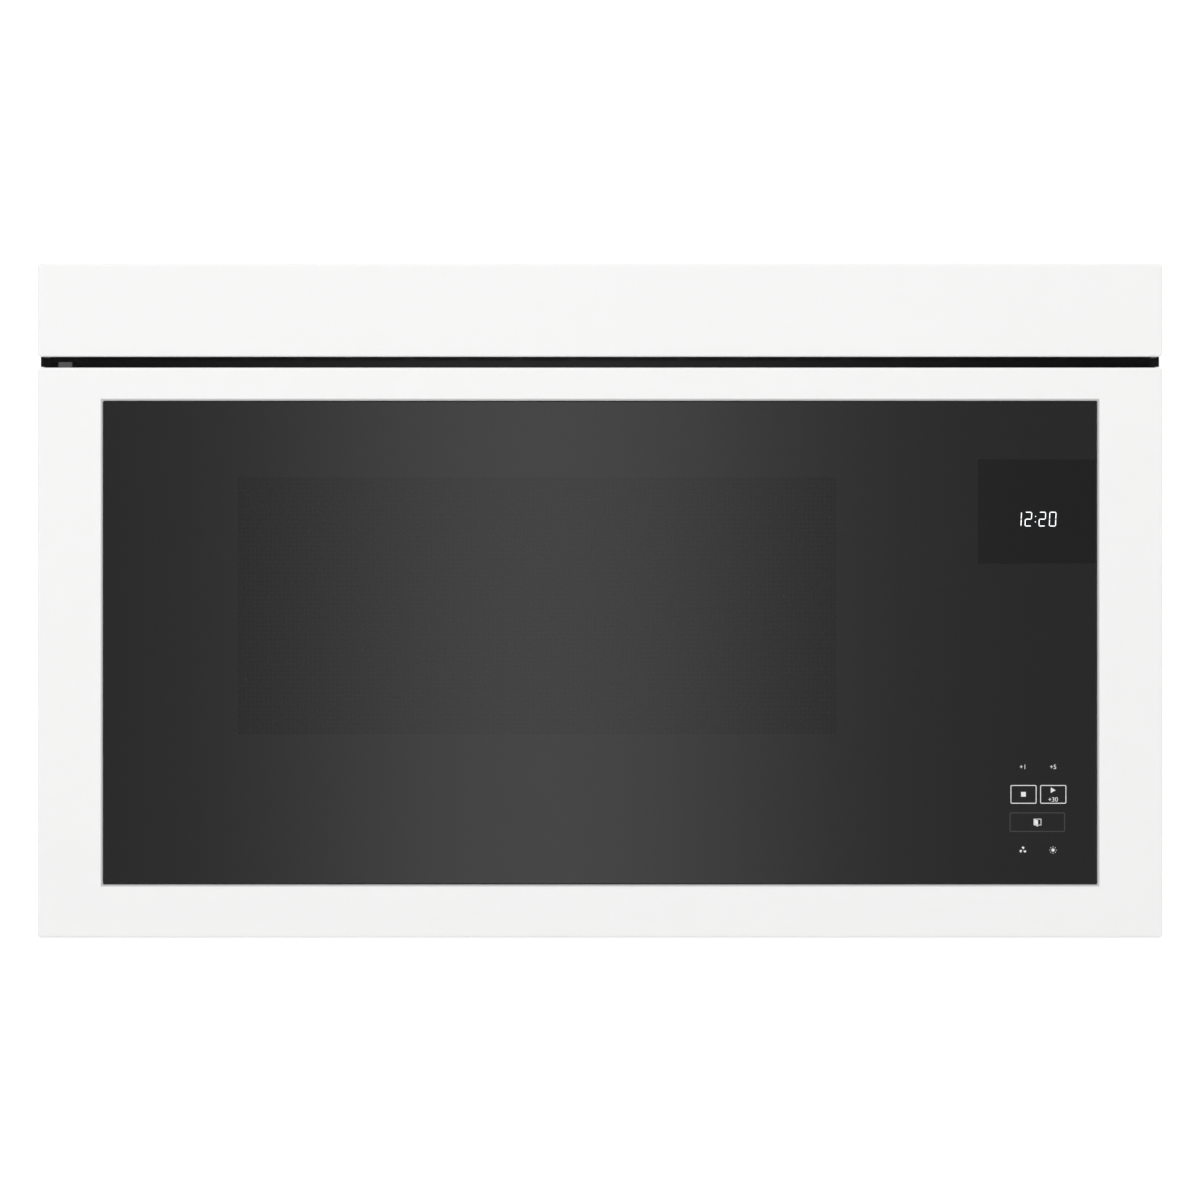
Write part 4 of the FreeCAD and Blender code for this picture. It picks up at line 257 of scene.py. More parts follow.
def group_flecks():
    """Flecks in enamel or ceramic: sparse small spots."""
    tree, source, result = new_group("Flecks", {"Scale": 260.0, "Size": 0.22}, ("Mask",))
    cells = add(tree, "ShaderNodeTexVoronoi", {"Vector": object_place(tree),
                                               "Scale": source.outputs["Scale"]})
    pick = add(tree, "ShaderNodeSeparateColor", {0: cells.outputs["Color"]})
    near = maths(tree, "LESS_THAN", cells.outputs["Distance"], source.outputs["Size"])
    few = maths(tree, "GREATER_THAN", pick.outputs[1], 0.62)
    tree.links.new(maths(tree, "MULTIPLY", near, few), result.inputs["Mask"])


def group_rectangle():
    """Soft-edged rectangle in X and Z, for what is printed or fitted behind the glass."""
    tree, source, result = new_group("Rectangle mask", {"Left": 0.0, "Right": 1.0, "Low": 0.0, "High": 1.0,
                                                        "Edge": 0.0004}, ("Mask",))
    split = add(tree, "ShaderNodeSeparateXYZ", {0: object_place(tree)})
    inside = None
    for axis, edge, sign in (("X", "Left", 1.0), ("X", "Right", -1.0),
                             ("Z", "Low", 1.0), ("Z", "High", -1.0)):
        gap = maths(tree, "SUBTRACT", split.outputs[axis], source.outputs[edge])
        step = maths(tree, "DIVIDE", maths(tree, "MULTIPLY", gap, sign), source.outputs["Edge"], clamp=True)
        inside = maths(tree, "MULTIPLY", inside, step) if inside else step
    tree.links.new(inside, result.inputs["Mask"])


def group_bands():
    """Even bands across one axis, for laminations, wire layers and moulded flutes."""
    tree, source, result = new_group("Bands", {"Along": (0.0, 0.0, 1.0), "Pitch": 0.001}, ("Height",))
    reach = add(tree, "ShaderNodeVectorMath", {0: object_place(tree), 1: source.outputs["Along"]},
                operation="DOT_PRODUCT")
    turns = maths(tree, "DIVIDE", reach.outputs["Value"], source.outputs["Pitch"])
    wave = maths(tree, "SINE", maths(tree, "MULTIPLY", turns, math.tau))
    tree.links.new(maths(tree, "MULTIPLY_ADD", wave, 0.5, 0.5), result.inputs["Height"])


# ---- Materials ----

def material(name, base, roughness, metallic=0.0, **sockets):
    """A new Principled material: its tree and its shader."""
    made = bpy.data.materials.new(name)
    made.use_nodes = True
    tree = made.node_tree
    shader = tree.nodes["Principled BSDF"]
    shader.inputs["Base Color"].default_value = (*base, 1.0)
    shader.inputs["Roughness"].default_value = roughness
    shader.inputs["Metallic"].default_value = metallic
    for key, value in sockets.items():
        shader.inputs[key.replace("_", " ")].default_value = value
    return tree, shader


def mix(tree, amount, first, second):
    """Colour between two colours by a mask."""
    made = add(tree, "ShaderNodeMix", {0: amount}, data_type="RGBA")
    for socket, value in ((made.inputs[6], first), (made.inputs[7], second)):
        feed(tree, socket, value if isinstance(value, bpy.types.NodeSocket) else (*value, 1.0))
    return made.outputs[2]


def tint(tree, shader, amount, first, second):
    """Sets the base colour to a blend of two colours."""
    tree.links.new(mix(tree, amount, first, second), shader.inputs["Base Color"])


def darker(shade, by):
    return tuple(c * (1.0 - by) for c in shade)


def bump(tree, shader, height, depth):
    made = add(tree, "ShaderNodeBump", {"Height": height, "Distance": depth, "Strength": 1.0})
    tree.links.new(made.outputs[0], shader.inputs["Normal"])


def roughen(tree, shader, base, amount, size):
    marks = use(tree, "Handling marks", Size=size, Amount=amount)
    tree.links.new(maths(tree, "ADD", marks.outputs[0], base), shader.inputs["Roughness"])


def moulded(name, shade, rough, grain=900.0, depth=0.00004, vary=0.06, marks=0.08, **sockets):
    """Plastic, paint or enamel with dimples, a drift of shade and finger marks."""
    tree, shader = material(name, shade, rough, **sockets)
    grains = use(tree, "Surface grain", Grain=grain, Drift=7.0)
    tint(tree, shader, grains.outputs["Shade"], shade, darker(shade, vary))
    roughen(tree, shader, rough, marks, 16.0)
    bump(tree, shader, grains.outputs["Height"], depth)
    return tree, shader


def rolled(name, shade, rough, stretch, depth=0.00002, vary=0.16, **sockets):
    """Bare sheet or turned metal with streaks along its rolling direction."""
    tree, shader = material(name, shade, rough, 1.0, **sockets)
    streaks = use(tree, "Rolling streaks", Stretch=stretch)
    tint(tree, shader, streaks.outputs["Shade"], shade, darker(shade, vary))
    roughen(tree, shader, rough, 0.14, 30.0)
    bump(tree, shader, streaks.outputs["Height"], depth)


def galvanised(name, shade, rough, crystals):
    tree, shader = material(name, shade, rough, 1.0)
    spangle = use(tree, "Zinc spangle", Crystals=crystals)
    tint(tree, shader, spangle.outputs["Shade"], shade, darker(shade, 0.17))
    dull = maths(tree, "MULTIPLY_ADD", spangle.outputs["Shade"], 0.12, rough)
    tree.links.new(dull, shader.inputs["Roughness"])
    bump(tree, shader, spangle.outputs["Height"], 0.00003)


def flecked(name, shade, fleck, rough, scale, size, grain, depth, **sockets):
    """Vitreous enamel, ceramic or granulate with flecks of a second colour."""
    tree, shader = material(name, shade, rough, **sockets)
    spots = use(tree, "Flecks", Scale=scale, Size=size)
    grains = use(tree, "Surface grain", Grain=grain, Drift=11.0)
    ground = mix(tree, grains.outputs["Shade"], shade, darker(shade, 0.05))
    tint(tree, shader, spots.outputs["Mask"], ground, fleck)
    roughen(tree, shader, rough, 0.04, 22.0)
    bump(tree, shader, grains.outputs["Height"], depth)


def banded(name, shade, gap, rough, metallic, along, pitch, depth):
    """Laminations, wire layers or moulded flutes."""
    tree, shader = material(name, shade, rough, metallic)
    bands = use(tree, "Bands", Along=along, Pitch=pitch)
    grains = use(tree, "Surface grain", Grain=400.0, Drift=20.0)
    ground = mix(tree, grains.outputs["Shade"], shade, darker(shade, 0.2))
    tint(tree, shader, bands.outputs["Height"], gap, ground)
    roughen(tree, shader, rough, 0.1, 60.0)
    bump(tree, shader, bands.outputs["Height"], depth)


def circuit(name):
    """Solder-masked board: copper tracks as a lighter green, and pads."""
    tree, shader = material(name, (0.02, 0.13, 0.055), 0.32, Coat_Weight=0.25)
    tracks = add(tree, "ShaderNodeTexVoronoi", {"Vector": object_place(tree), "Scale": 240.0},
                 distance="CHEBYCHEV")
    line = add(tree, "ShaderNodeMapRange", {"Value": tracks.outputs["Distance"], "From Min": 0.30,
                                            "From Max": 0.34})
    green = mix(tree, line.outputs[0], (0.02, 0.13, 0.055), (0.035, 0.21, 0.09))
    pads = use(tree, "Flecks", Scale=420.0, Size=0.26)
    tint(tree, shader, pads.outputs["Mask"], green, (0.62, 0.60, 0.52))
    bump(tree, shader, line.outputs[0], 0.00004)


def enamel_material(looks):
    """White enamel, with a thin grey line of painted shade round the glass, where the bezel's edge rounds
    into the glass recess.
    """
    tree, shader = moulded("white_enamel", tuple(looks.enamel), 0.30, 700.0, 0.000012, 0.008, 0.03,
                           Specular_IOR_Level=0.35)
    white = shader.inputs["Base Color"].links[0].from_socket
    # Painted shade: the enamel turns grey in a thin band round the glass.
    tint(tree, shader, rectangle(tree, EDGE_SHADE, 0.0003), white, tuple(looks.edge_shade))


def door_glass_material(looks):
    """Dark glass: print round the window, the window's screen behind it painted on the glass, with painted
    shade darkening the window's field and the screen's holes where the unlit oven shows through, and the
    clock's dark field.
    """
    glass, behind = tuple(looks.glass), tuple(looks.window)
    tree, shader = material("dark_glass", glass, 0.03, IOR=1.5, Coat_Weight=0.0)
    flat = add(tree, "ShaderNodeVectorMath", {0: object_place(tree), 1: (1.0, 0.0, 1.0)},
               operation="MULTIPLY")
    dots = add(tree, "ShaderNodeTexVoronoi", {"Vector": flat.outputs[0], "Scale": 333.0, "Randomness": 0.0})
    # Painted shade: the screen's holes are painted 14% darker than its bars, for the dark oven inside seen
    # through them.
    hole = maths(tree, "LESS_THAN", dots.outputs["Distance"], 0.31)
    screen = mix(tree, hole, behind, darker(behind, 0.14))
    smear = use(tree, "Surface grain", Grain=40.0, Drift=5.0)
    # Painted shade: the window's field is darker than the printed glass, for the dark oven inside seen
    # through it.
    ground = mix(tree, rectangle(tree, WINDOW, 0.0012),
                 mix(tree, smear.outputs["Shade"], glass, darker(glass, 0.05)), screen)
    tint(tree, shader, rectangle(tree, DISPLAY, 0.0005), ground, tuple(looks.display))
    roughen(tree, shader, 0.02, 0.03, 14.0)


def clear_pane(name, shade, alpha, flutes):
    """Clear moulding or pane, see-through by its alpha, with fine flutes."""
    tree, shader = material(name, shade, 0.08, IOR=1.5)
    bands = use(tree, "Bands", Along=(1.0, 0.0, 0.0), Pitch=flutes)
    marks = use(tree, "Handling marks", Size=24.0, Amount=0.06)
    tree.links.new(maths(tree, "ADD", marks.outputs[0], alpha), shader.inputs["Alpha"])
    tree.links.new(maths(tree, "ADD", marks.outputs[0], 0.06), shader.inputs["Roughness"])
    bump(tree, shader, bands.outputs["Height"], 0.00003)


def lit(name, shade, strength):
    """Glowing segment, or printed legend with a painted glow where the strength is above nought, with a
    faint unevenness.
    """
    tree, shader = material(name, shade, 0.5)
    grains = use(tree, "Surface grain", Grain=1500.0, Drift=300.0)
    tone = mix(tree, grains.outputs["Shade"], shade, darker(shade, 0.12))
    tree.links.new(tone, shader.inputs["Base Color"])
    tree.links.new(tone, shader.inputs["Emission Color"])
    shader.inputs["Emission Strength"].default_value = strength


def make_materials():
    """Every finish of the record's material slots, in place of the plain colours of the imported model."""
    for plain in list(bpy.data.materials):
        bpy.data.materials.remove(plain)
    looks = bpy.context.scene.mh_finish
    along_x, along_y = (6.0, 900.0, 900.0), (900.0, 6.0, 900.0)
    enamel_material(looks)
    door_glass_material(looks)
    moulded("black_plastic", tuple(looks.moulding), 0.42, 1600.0, 0.00005, 0.25)
    moulded("vent_black", tuple(looks.vent), 0.14, 900.0, 0.000004, 0.2, 0.02, Specular_IOR_Level=0.32)
    moulded("grey_plastic", (0.055, 0.056, 0.058), 0.48, 1500.0, 0.00006, 0.12)
    moulded("white_plastic", (0.70, 0.70, 0.67), 0.40, 1300.0, 0.00003)
    moulded("bush_plastic", (0.62, 0.61, 0.56), 0.36, 900.0, 0.00002)
    galvanised("zinc_steel", (0.56, 0.575, 0.59), 0.28, 95.0)
    rolled("hinge_steel", (0.105, 0.105, 0.108), 0.38, along_y)
    rolled("steel", (0.58, 0.58, 0.59), 0.24, along_x)
    rolled("aluminium", (0.70, 0.71, 0.72), 0.30, along_y)
    flecked("grey_enamel", tuple(looks.oven), (0.42, 0.43, 0.44), 0.24, 420.0, 0.30, 500.0, 0.00003,
            Coat_Weight=0.3)
    moulded("dark_paint", (0.021, 0.021, 0.023), 0.42, 1000.0, 0.00004, 0.05, 0.015)
    moulded("base_paint", (0.62, 0.62, 0.61), 0.36, 900.0, 0.00003, 0.03, 0.03)
    flecked("ceramic", (0.68, 0.68, 0.655), (0.40, 0.40, 0.39), 0.12, 300.0, 0.16, 300.0, 0.000008)
    clear_pane("pane", (0.42, 0.43, 0.43), 0.30, 0.004)
    banded("core_steel", (0.045, 0.040, 0.036), (0.012, 0.010, 0.010), 0.42, 0.7,
           (0.0, 1.0, 0.0), 0.0010, 0.00008)
    banded("copper_wire", (0.45, 0.16, 0.055), (0.12, 0.035, 0.012), 0.30, 0.8,
           (0.0, 0.0, 1.0), 0.0012, 0.0002)
    circuit("board")
    clear_pane("lens", (0.86, 0.87, 0.87), 0.55, 0.0022)
    flecked("charcoal", (0.012, 0.012, 0.012), (0.045, 0.045, 0.047), 0.70, 480.0, 0.42, 600.0, 0.0006)


def paint(nodes):
    """Gives CAD nodes the finish of their material slot."""
    slots = {part["node"]: part["material_slot"] for part in frame["record"]["subparts"]}
    for name in nodes:
        for place in frame["nodes"][name].material_slots:
            place.material = bpy.data.materials[slots[name]]


# ---- Mesh helpers ----

def new_object(name, data):
    made = bpy.data.objects.new(name, data)
    bpy.context.scene.collection.objects.link(made)
    return made


def around(x, z, reach, angle):
    """The point at a distance and an angle from another."""
    return x + reach * math.cos(angle), z + reach * math.sin(angle)


def mesh_object(name, vertices, faces, finish):
    """A new object at the origin from points in metres."""
    data = bpy.data.meshes.new(name)
    data.from_pydata([tuple(v) for v in vertices], [], faces)
    data.materials.append(bpy.data.materials[finish])
    return new_object(name, data)


def baked(holder):
    """The evaluated mesh of an object, which is then removed."""
    data = bpy.data.meshes.new_from_object(holder.evaluated_get(bpy.context.evaluated_depsgraph_get()))
    holder.modifiers.clear()
    bpy.data.objects.remove(holder)
    return data


def outward(made):
    """Turns faces outward."""
    work = bmesh.new()
    work.from_mesh(made.data)
    bmesh.ops.recalc_face_normals(work, faces=work.faces)
    work.to_mesh(made.data)
    work.free()
    return made


class Plates:
    """Collects thin flat shapes that lie on the glass."""

    def __init__(self):
        self.low, self.high = GLASS_LOW.y - PRINT_THICK, GLASS_LOW.y + PRINT_THICK
        self.vertices, self.faces = [], []

    def shape(self, outline):
        """A filled outline of X, Z points."""
        count, start = len(outline), len(self.vertices)
        for y in (self.low, self.high):
            self.vertices += [(x, y, z) for x, z in outline]
        self.faces.append([start + i for i in range(count)])
        self.faces.append([start + count + i for i in reversed(range(count))])
        for i in range(count):
            j = (i + 1) % count
            self.faces.append([start + i, start + count + i, start + count + j, start + j])

    def square(self, x, z, half):
        self.shape([(x - half, z - half), (x + half, z - half), (x + half, z + half), (x - half, z + half)])

    def bar(self, a, b, width):
        """A straight line of some width with pointed ends, as in a seven-segment digit."""
        a, b = Vector(a), Vector(b)
        run = (b - a).normalized() * width / 2.0
        side = Vector((-run.y, run.x))
        self.shape([a, a + run + side, b - run + side, b, b - run - side, a + run - side])

    def line(self, points, width, closed=False):
        """A mitred line through X, Z points."""
        points = [Vector(p) for p in points]
        count = len(points)
        sides = []
        for i, point in enumerate(points):
            before = points[i - 1] if closed or i else point - (points[1] - point)
            after = points[(i + 1) % count] if closed or i < count - 1 else point + (point - points[i - 1])
            first, second = (point - before).normalized(), (after - point).normalized()
            normal = Vector((-(first.y + second.y), first.x + second.x)).normalized()
            reach = width / 2.0 / max(0.3, normal.dot(Vector((-first.y, first.x))))
            sides.append((point + normal * reach, point - normal * reach))
        for i in range(count if closed else count - 1):
            j = (i + 1) % count
            self.shape([sides[i][0], sides[j][0], sides[j][1], sides[i][1]])

    def box(self, limits, width):
        """A rectangle's outline with rounded corners."""
        left, right, low, high = limits
        radius = 0.0007
        points = []
        for cx, cz, start in ((right - radius, high - radius, 0), (left + radius, high - radius, 90),
                              (left + radius, low + radius, 180), (right - radius, low + radius, 270)):
            points += [around(cx, cz, radius, math.radians(start + 30 * step)) for step in range(4)]
        self.line(points, width, closed=True)

    def make(self, name, finish):
        return outward(mesh_object(name, self.vertices, self.faces, finish))


def join_named(name, objects):
    """One object from several, with all their materials."""
    with bpy.context.temp_override(active_object=objects[0], selected_objects=objects,
                                   selected_editable_objects=objects):
        bpy.ops.object.join()
    objects[0].name = name
    return objects[0]


def flat_text(words, x, z, height, finish):
    """Lettering as a mesh that lies on the glass, centred on a place."""
    curve = bpy.data.curves.new("lettering", "FONT")
    curve.body = words
    curve.size = 1.0
    curve.extrude = 0.5
    curve.align_x, curve.align_y = "CENTER", "CENTER"
    data = baked(new_object("lettering", curve))
    size = height / (max(v.co.y for v in data.vertices) - min(v.co.y for v in data.vertices))
    for v in data.vertices:
        v.co = Vector((x + v.co.x * size, GLASS_LOW.y - v.co.z * 2.0 * PRINT_THICK, z + v.co.y * size))
    data.materials.clear()
    data.materials.append(bpy.data.materials[finish])
    return new_object("lettering", data)


def settle(made, body):
    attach(made, body)


# ---- Geometry Nodes ----

def grow(name, tree, finish, body, slot, **inputs):
    """Runs a tree on an empty mesh and keeps the result as a plain mesh."""
    holder = mesh_object(name + "_seed", [ORIGIN], [], finish)
    modifier = holder.modifiers.new("build", "NODES")
    modifier.node_group = tree
    sockets = {item.name: item.identifier for item in tree.interface.items_tree if item.in_out == "INPUT"}
    for key, value in inputs.items():
        modifier[sockets[key.replace("_", " ")]] = value
    modifier[sockets["Finish"]] = bpy.data.materials[finish]
    data = baked(holder)
    data.name = name
    made = new_object(name, data)
    settle(made, body)
    return made


def new_tree(name, **inputs):
    """A Geometry Nodes tree that also takes the finish of what it makes."""
    inputs["Finish"] = "NodeSocketMaterial"
    return new_group(name, inputs, ("Geometry",), "GeometryNodeTree", "NodeSocketGeometry")


def staggered_points(tree, width, depth, pitch_x, pitch_y):
    """Two grids of points, one shifted by half a pitch, in the XY plane."""
    both = add(tree, "GeometryNodeJoinGeometry")
    for shift in (0.0, 1.0):
        sizes = {}
        for axis, size, pitch in (("X", width, pitch_x), ("Y", depth, pitch_y)):
            span = maths(tree, "SUBTRACT", size, maths(tree, "MULTIPLY", pitch, shift))
            steps = maths(tree, "ROUND", maths(tree, "DIVIDE", span, pitch))
            sizes["Size " + axis] = span
            sizes["Vertices " + axis] = maths(tree, "ADD", steps, 1.0)
        grid = add(tree, "GeometryNodeMeshGrid", sizes)
        tree.links.new(grid.outputs["Mesh"], both.inputs[0])
    return both.outputs[0]


def tree_end(tree, geometry, source, result):
    real = add(tree, "GeometryNodeRealizeInstances", {0: geometry})
    painted = add(tree, "GeometryNodeSetMaterial", {"Geometry": real.outputs[0],
                                                    "Material": source.outputs["Finish"]})
    tree.links.new(painted.outputs[0], result.inputs[0])


def perforation_tree():
    """A field of small discs in staggered rows, stood upright at a place."""
    tree, source, result = new_tree("Perforation", Width=0.4, Height=0.17, Pitch=0.003, Radius=0.001,
                                    Place=ORIGIN, Turn=ORIGIN)
    pitch = source.outputs["Pitch"]
    rows = maths(tree, "MULTIPLY", pitch, math.sqrt(3.0))
    points = staggered_points(tree, source.outputs["Width"], source.outputs["Height"], pitch, rows)
    disc = add(tree, "GeometryNodeMeshCylinder", {"Vertices": 6, "Radius": source.outputs["Radius"],
                                                  "Depth": 0.0001}, fill_type="NGON")
    spread = add(tree, "GeometryNodeInstanceOnPoints", {"Points": points, "Instance": disc.outputs[0]})
    placed = add(tree, "GeometryNodeTransform", {"Geometry": spread.outputs[0],
                                                 "Translation": source.outputs["Place"],
                                                 "Rotation": source.outputs["Turn"]})
    tree_end(tree, placed.outputs[0], source, result)
    return tree


def diamond_tree():
    """Expanded metal: staggered diamonds of thin strand in a flat field."""
    tree, source, result = new_tree("Expanded mesh", Width=0.15, Depth=0.23, Pitch=0.0105,
                                    Place=ORIGIN, Tilt=ORIGIN, Diamond="NodeSocketObject")
    pitch = source.outputs["Pitch"]
    across = maths(tree, "MULTIPLY", pitch, 0.5)
    points = staggered_points(tree, source.outputs["Width"], source.outputs["Depth"], pitch, across)
    shape = add(tree, "GeometryNodeObjectInfo", {"Object": source.outputs["Diamond"]})
    spread = add(tree, "GeometryNodeInstanceOnPoints", {"Points": points,
                                                        "Instance": shape.outputs["Geometry"],
                                                        "Rotation": source.outputs["Tilt"]})
    placed = add(tree, "GeometryNodeTransform", {"Geometry": spread.outputs[0],
                                                 "Translation": source.outputs["Place"]})
    tree_end(tree, placed.outputs[0], source, result)
    return tree


def screw_tree():
    """Copies of one screw head on points, each standing on its point's own direction."""
    tree, source, result = new_tree("Screw row", Points="NodeSocketObject", Screw="NodeSocketObject")
    points = add(tree, "GeometryNodeObjectInfo", {"Object": source.outputs["Points"]})
    screw = add(tree, "GeometryNodeObjectInfo", {"Object": source.outputs["Screw"]})
    facing = add(tree, "GeometryNodeInputNamedAttribute", {"Name": "facing"}, data_type="FLOAT_VECTOR")
    turn = add(tree, "FunctionNodeAlignRotationToVector", {"Vector": facing.outputs[0]}, axis="Z")
    spread = add(tree, "GeometryNodeInstanceOnPoints", {"Points": points.outputs["Geometry"],
                                                        "Instance": screw.outputs["Geometry"],
                                                        "Rotation": turn.outputs[0]})
    tree_end(tree, spread.outputs[0], source, result)
    return tree


# ---- Operators: one for each piece or group ----

class FinishStep:
    """A step that gives CAD nodes the finish of their material slot."""

    def execute(self, context):
        paint(self.covers)
        return {"FINISHED"}


class MH_OT_front(bpy.types.Operator):
    """Enamel door frame and fascia, dark glass and the black vent strip"""
    bl_idname = "microwave_hood.front"
    bl_label = "Front"

    def execute(self, context):
        paint(["door_bezel", "vent_fascia", "door_glass", "vent_louvre"])
        frame["nodes"]["vent_louvre"].material_slots[0].material = bpy.data.materials["vent_black"]
        return {"FINISHED"}


class MH_OT_clock(bpy.types.Operator):
    """Lit seven-segment digits of the clock, behind the dark field"""
    bl_idname = "microwave_hood.clock"
    bl_label = "Clock digits"

    segments = {"0": "abcdef", "1": "bc", "2": "abged"}
    ends = {"a": ((0, 1), (1, 1)), "b": ((1, 1), (1, 0.5)), "c": ((1, 0.5), (1, 0)),
            "d": ((0, 0), (1, 0)), "e": ((0, 0.5), (0, 0)), "f": ((0, 1), (0, 0.5)),
            "g": ((0, 0.5), (1, 0.5))}
    digits = (("1", 0.2800), ("2", 0.2869), ("2", 0.2963), ("0", 0.3033))
    colon_x = 0.2938
    middle_z = 0.2825
    width, slant = 0.45, 0.04      # as shares of a digit's height
    gap, dot = 0.30, 0.55          # as shares of a segment's stroke

    def execute(self, context):
        looks = context.scene.mh_legend
        tall, stroke = looks.digit_height, looks.digit_stroke
        low = self.middle_z - tall / 2.0
        plates = Plates()
        for rise in (0.30, 0.70):
            plates.square(self.colon_x + self.slant * rise * tall, low + rise * tall, stroke * self.dot)
        for digit, left in self.digits:
            for segment in self.segments[digit]:
                start, end = [Vector((left + (across * self.width + rise * self.slant) * tall,
                                      low + rise * tall)) for across, rise in self.ends[segment]]
                run = (end - start).normalized() * stroke * self.gap
                plates.bar(start + run, end - run, stroke)
        lit("clock_white", tuple(looks.clock), 0.85)
        settle(plates.make("clock_digits", "clock_white"), "door")
        return {"FINISHED"}


class MH_OT_keys(bpy.types.Operator):
    """Printed key legends: numbers, plain signs and the boxes round the main keys"""
    bl_idname = "microwave_hood.keys"
    bl_label = "Key legends"

    left, middle, right = 0.2855, 0.2953, 0.3058          # X of the keys
    numbers = (("+1", left, 0.1151), ("+5", right, 0.1151), ("+30", right, 0.0931))
    stop_place = (0.28585, 0.09675)
    start_arrow = ((0.3043, 0.0976), (0.3043, 0.1014), (0.3076, 0.0995))
    door_z, lamp_z = 0.0780, 0.0591

    def execute(self, context):
        looks = context.scene.mh_legend
        line = looks.line
        # The printed legends get a faint painted glow (emission 0.10) on top of their white print.
        lit("legend_print_glow", (0.78, 0.78, 0.78), 0.10)
        lit("legend_grey", (0.032, 0.032, 0.032), 0.0)
        texts = [flat_text(words, x, z, looks.legend_height, "legend_print_glow") for words, x, z in self.numbers]
        signs = Plates()
        signs.box(STOP_KEY, line)
        signs.box(START_KEY, line)
        signs.square(*self.stop_place, 0.0016)
        signs.shape(self.start_arrow)
        self.door_sign(signs, self.middle, self.door_z, line)
        self.fan_sign(signs, self.left, self.lamp_z)
        self.lamp_sign(signs, self.right, self.lamp_z, line)
        printed = [signs.make("signs", "legend_print_glow")] + texts
        settle(join_named("key_legends", printed), "door")
        faint = Plates()
        faint.box(OPEN_KEY, line)
        settle(faint.make("open_key_box", "legend_grey"), "door")
        return {"FINISHED"}

    def door_sign(self, signs, x, z, line):
        """A door leaf standing open."""
        half_x, half_z, leaf_x = 0.0024, 0.0020, 0.0004
        signs.line([(x - half_x, z - half_z), (x - half_x, z + half_z), (x + half_x, z + half_z),
                    (x + half_x, z - half_z)], line * 0.8, closed=True)
        signs.shape([(x - half_x, z - half_z), (x + leaf_x, z - 0.0031), (x + leaf_x, z + 0.0012),
                     (x - half_x, z + half_z)])

    def fan_sign(self, signs, x, z):
        """Three curved blades round a hub."""
        blade = ((0.0005, -20), (0.0012, -34), (0.0021, -30), (0.0025, 0), (0.0021, 26), (0.0011, 12))
        for turn in (90, 210, 330):
            signs.shape([around(x, z, reach, math.radians(turn + swing)) for reach, swing in blade])

    def lamp_sign(self, signs, x, z, line):
        """A lamp with short rays."""
        bulb, ray_start, ray_end = 0.0011, 0.0017, 0.0026
        signs.shape([around(x, z, bulb, math.tau * i / 12) for i in range(12)])
        for i in range(8):
            angle = math.tau * i / 8
            signs.bar(around(x, z, ray_start, angle), around(x, z, ray_end, angle), line * 0.7)


class MH_OT_door_back(FinishStep, bpy.types.Operator):
    """Back of the door: pan, choke cover, rear cover, pane and the parts between"""
    bl_idname = "microwave_hood.door_back"
    bl_label = "Door back"
    covers = ("door_inner_frame", "door_inner_pane", "door_choke_cover", "door_rear_cover", "latch_spring",
              "hinge_bushes", "door_screws", "touch_board", "display_module", "control_carrier",
              "latch_hooks")


class MH_OT_screen(bpy.types.Operator):
    """Perforations of the window screen behind the inner pane"""
    bl_idname = "microwave_hood.screen"
    bl_label = "Window screen"

    def execute(self, context):
        looks = context.scene.mh_screen
        left, right, low, high = WINDOW
        back_y = PANE_Y - WINDOW_STEP + 0.00002
        # Painted shade: the holes are near-black discs, for the dark seen through holes that are not cut.
        moulded("hole_shade_black", (0.004, 0.004, 0.004), 0.6)
        grow("window_screen", perforation_tree(), "hole_shade_black", "door", "dark_paint",
             Width=right - left - looks.edge, Height=high - low - looks.edge,
             Pitch=looks.pitch, Radius=looks.hole,
             Place=((left + right) / 2.0, back_y, (low + high) / 2.0), Turn=(math.pi / 2.0, 0.0, 0.0))
        return {"FINISHED"}


class MH_OT_cabinet(FinishStep, bpy.types.Operator):
    """Cabinet sheets, brackets, partition, bushing and hinge leaves"""
    bl_idname = "microwave_hood.cabinet"
    bl_label = "Cabinet"
    covers = ("cabinet_wrap", "rear_panel", "base_plate", "front_frame", "bay_partition", "cabinet_screws",
              "cord_bushing", "hinge_bracket_upper", "hinge_bracket_lower")


class MH_OT_oven(FinishStep, bpy.types.Operator):
    """Oven box, ceramic floor, lamp, waveguide and stirrer"""
    bl_idname = "microwave_hood.oven"
    bl_label = "Oven"
    covers = ("oven_cavity", "cavity_lamp", "ceramic_floor", "waveguide", "stirrer_antenna",
              "stirrer_motor", "thermal_cutouts")


class MH_OT_bay(FinishStep, bpy.types.Operator):
    """Component bay: supply, magnetron, cooling fan and air guide"""
    bl_idname = "microwave_hood.bay"
    bl_label = "Component bay"
    covers = ("magnetron", "transformer_core", "transformer_windings", "hv_capacitor", "capacitor_clamp",
              "power_board", "noise_filter_board", "fan_bulkhead", "cooling_fan_motor", "cooling_fan_shaft",
              "cooling_fan_blade", "air_guide")


class MH_OT_lock(FinishStep, bpy.types.Operator):
    """Door lock: latch board, switches, release lever, solenoid and pusher"""
    bl_idname = "microwave_hood.lock"
    bl_label = "Door lock"
    covers = ("latch_board", "interlock_switches", "interlock_buttons", "release_lever", "release_solenoid",
              "solenoid_plunger", "door_pusher")


class MH_OT_hood(FinishStep, bpy.types.Operator):
    """Hood: blower, its wheels, the filters and the lamps"""
    bl_idname = "microwave_hood.hood"
    bl_label = "Hood"
    covers = ("blower_housing", "blower_motor", "blower_shaft", "blower_wheel_left", "blower_wheel_right",
              "grease_filter_frames", "grease_filter_meshes", "hood_lamp_lenses", "hood_lamp_boards",
              "charcoal_filter")


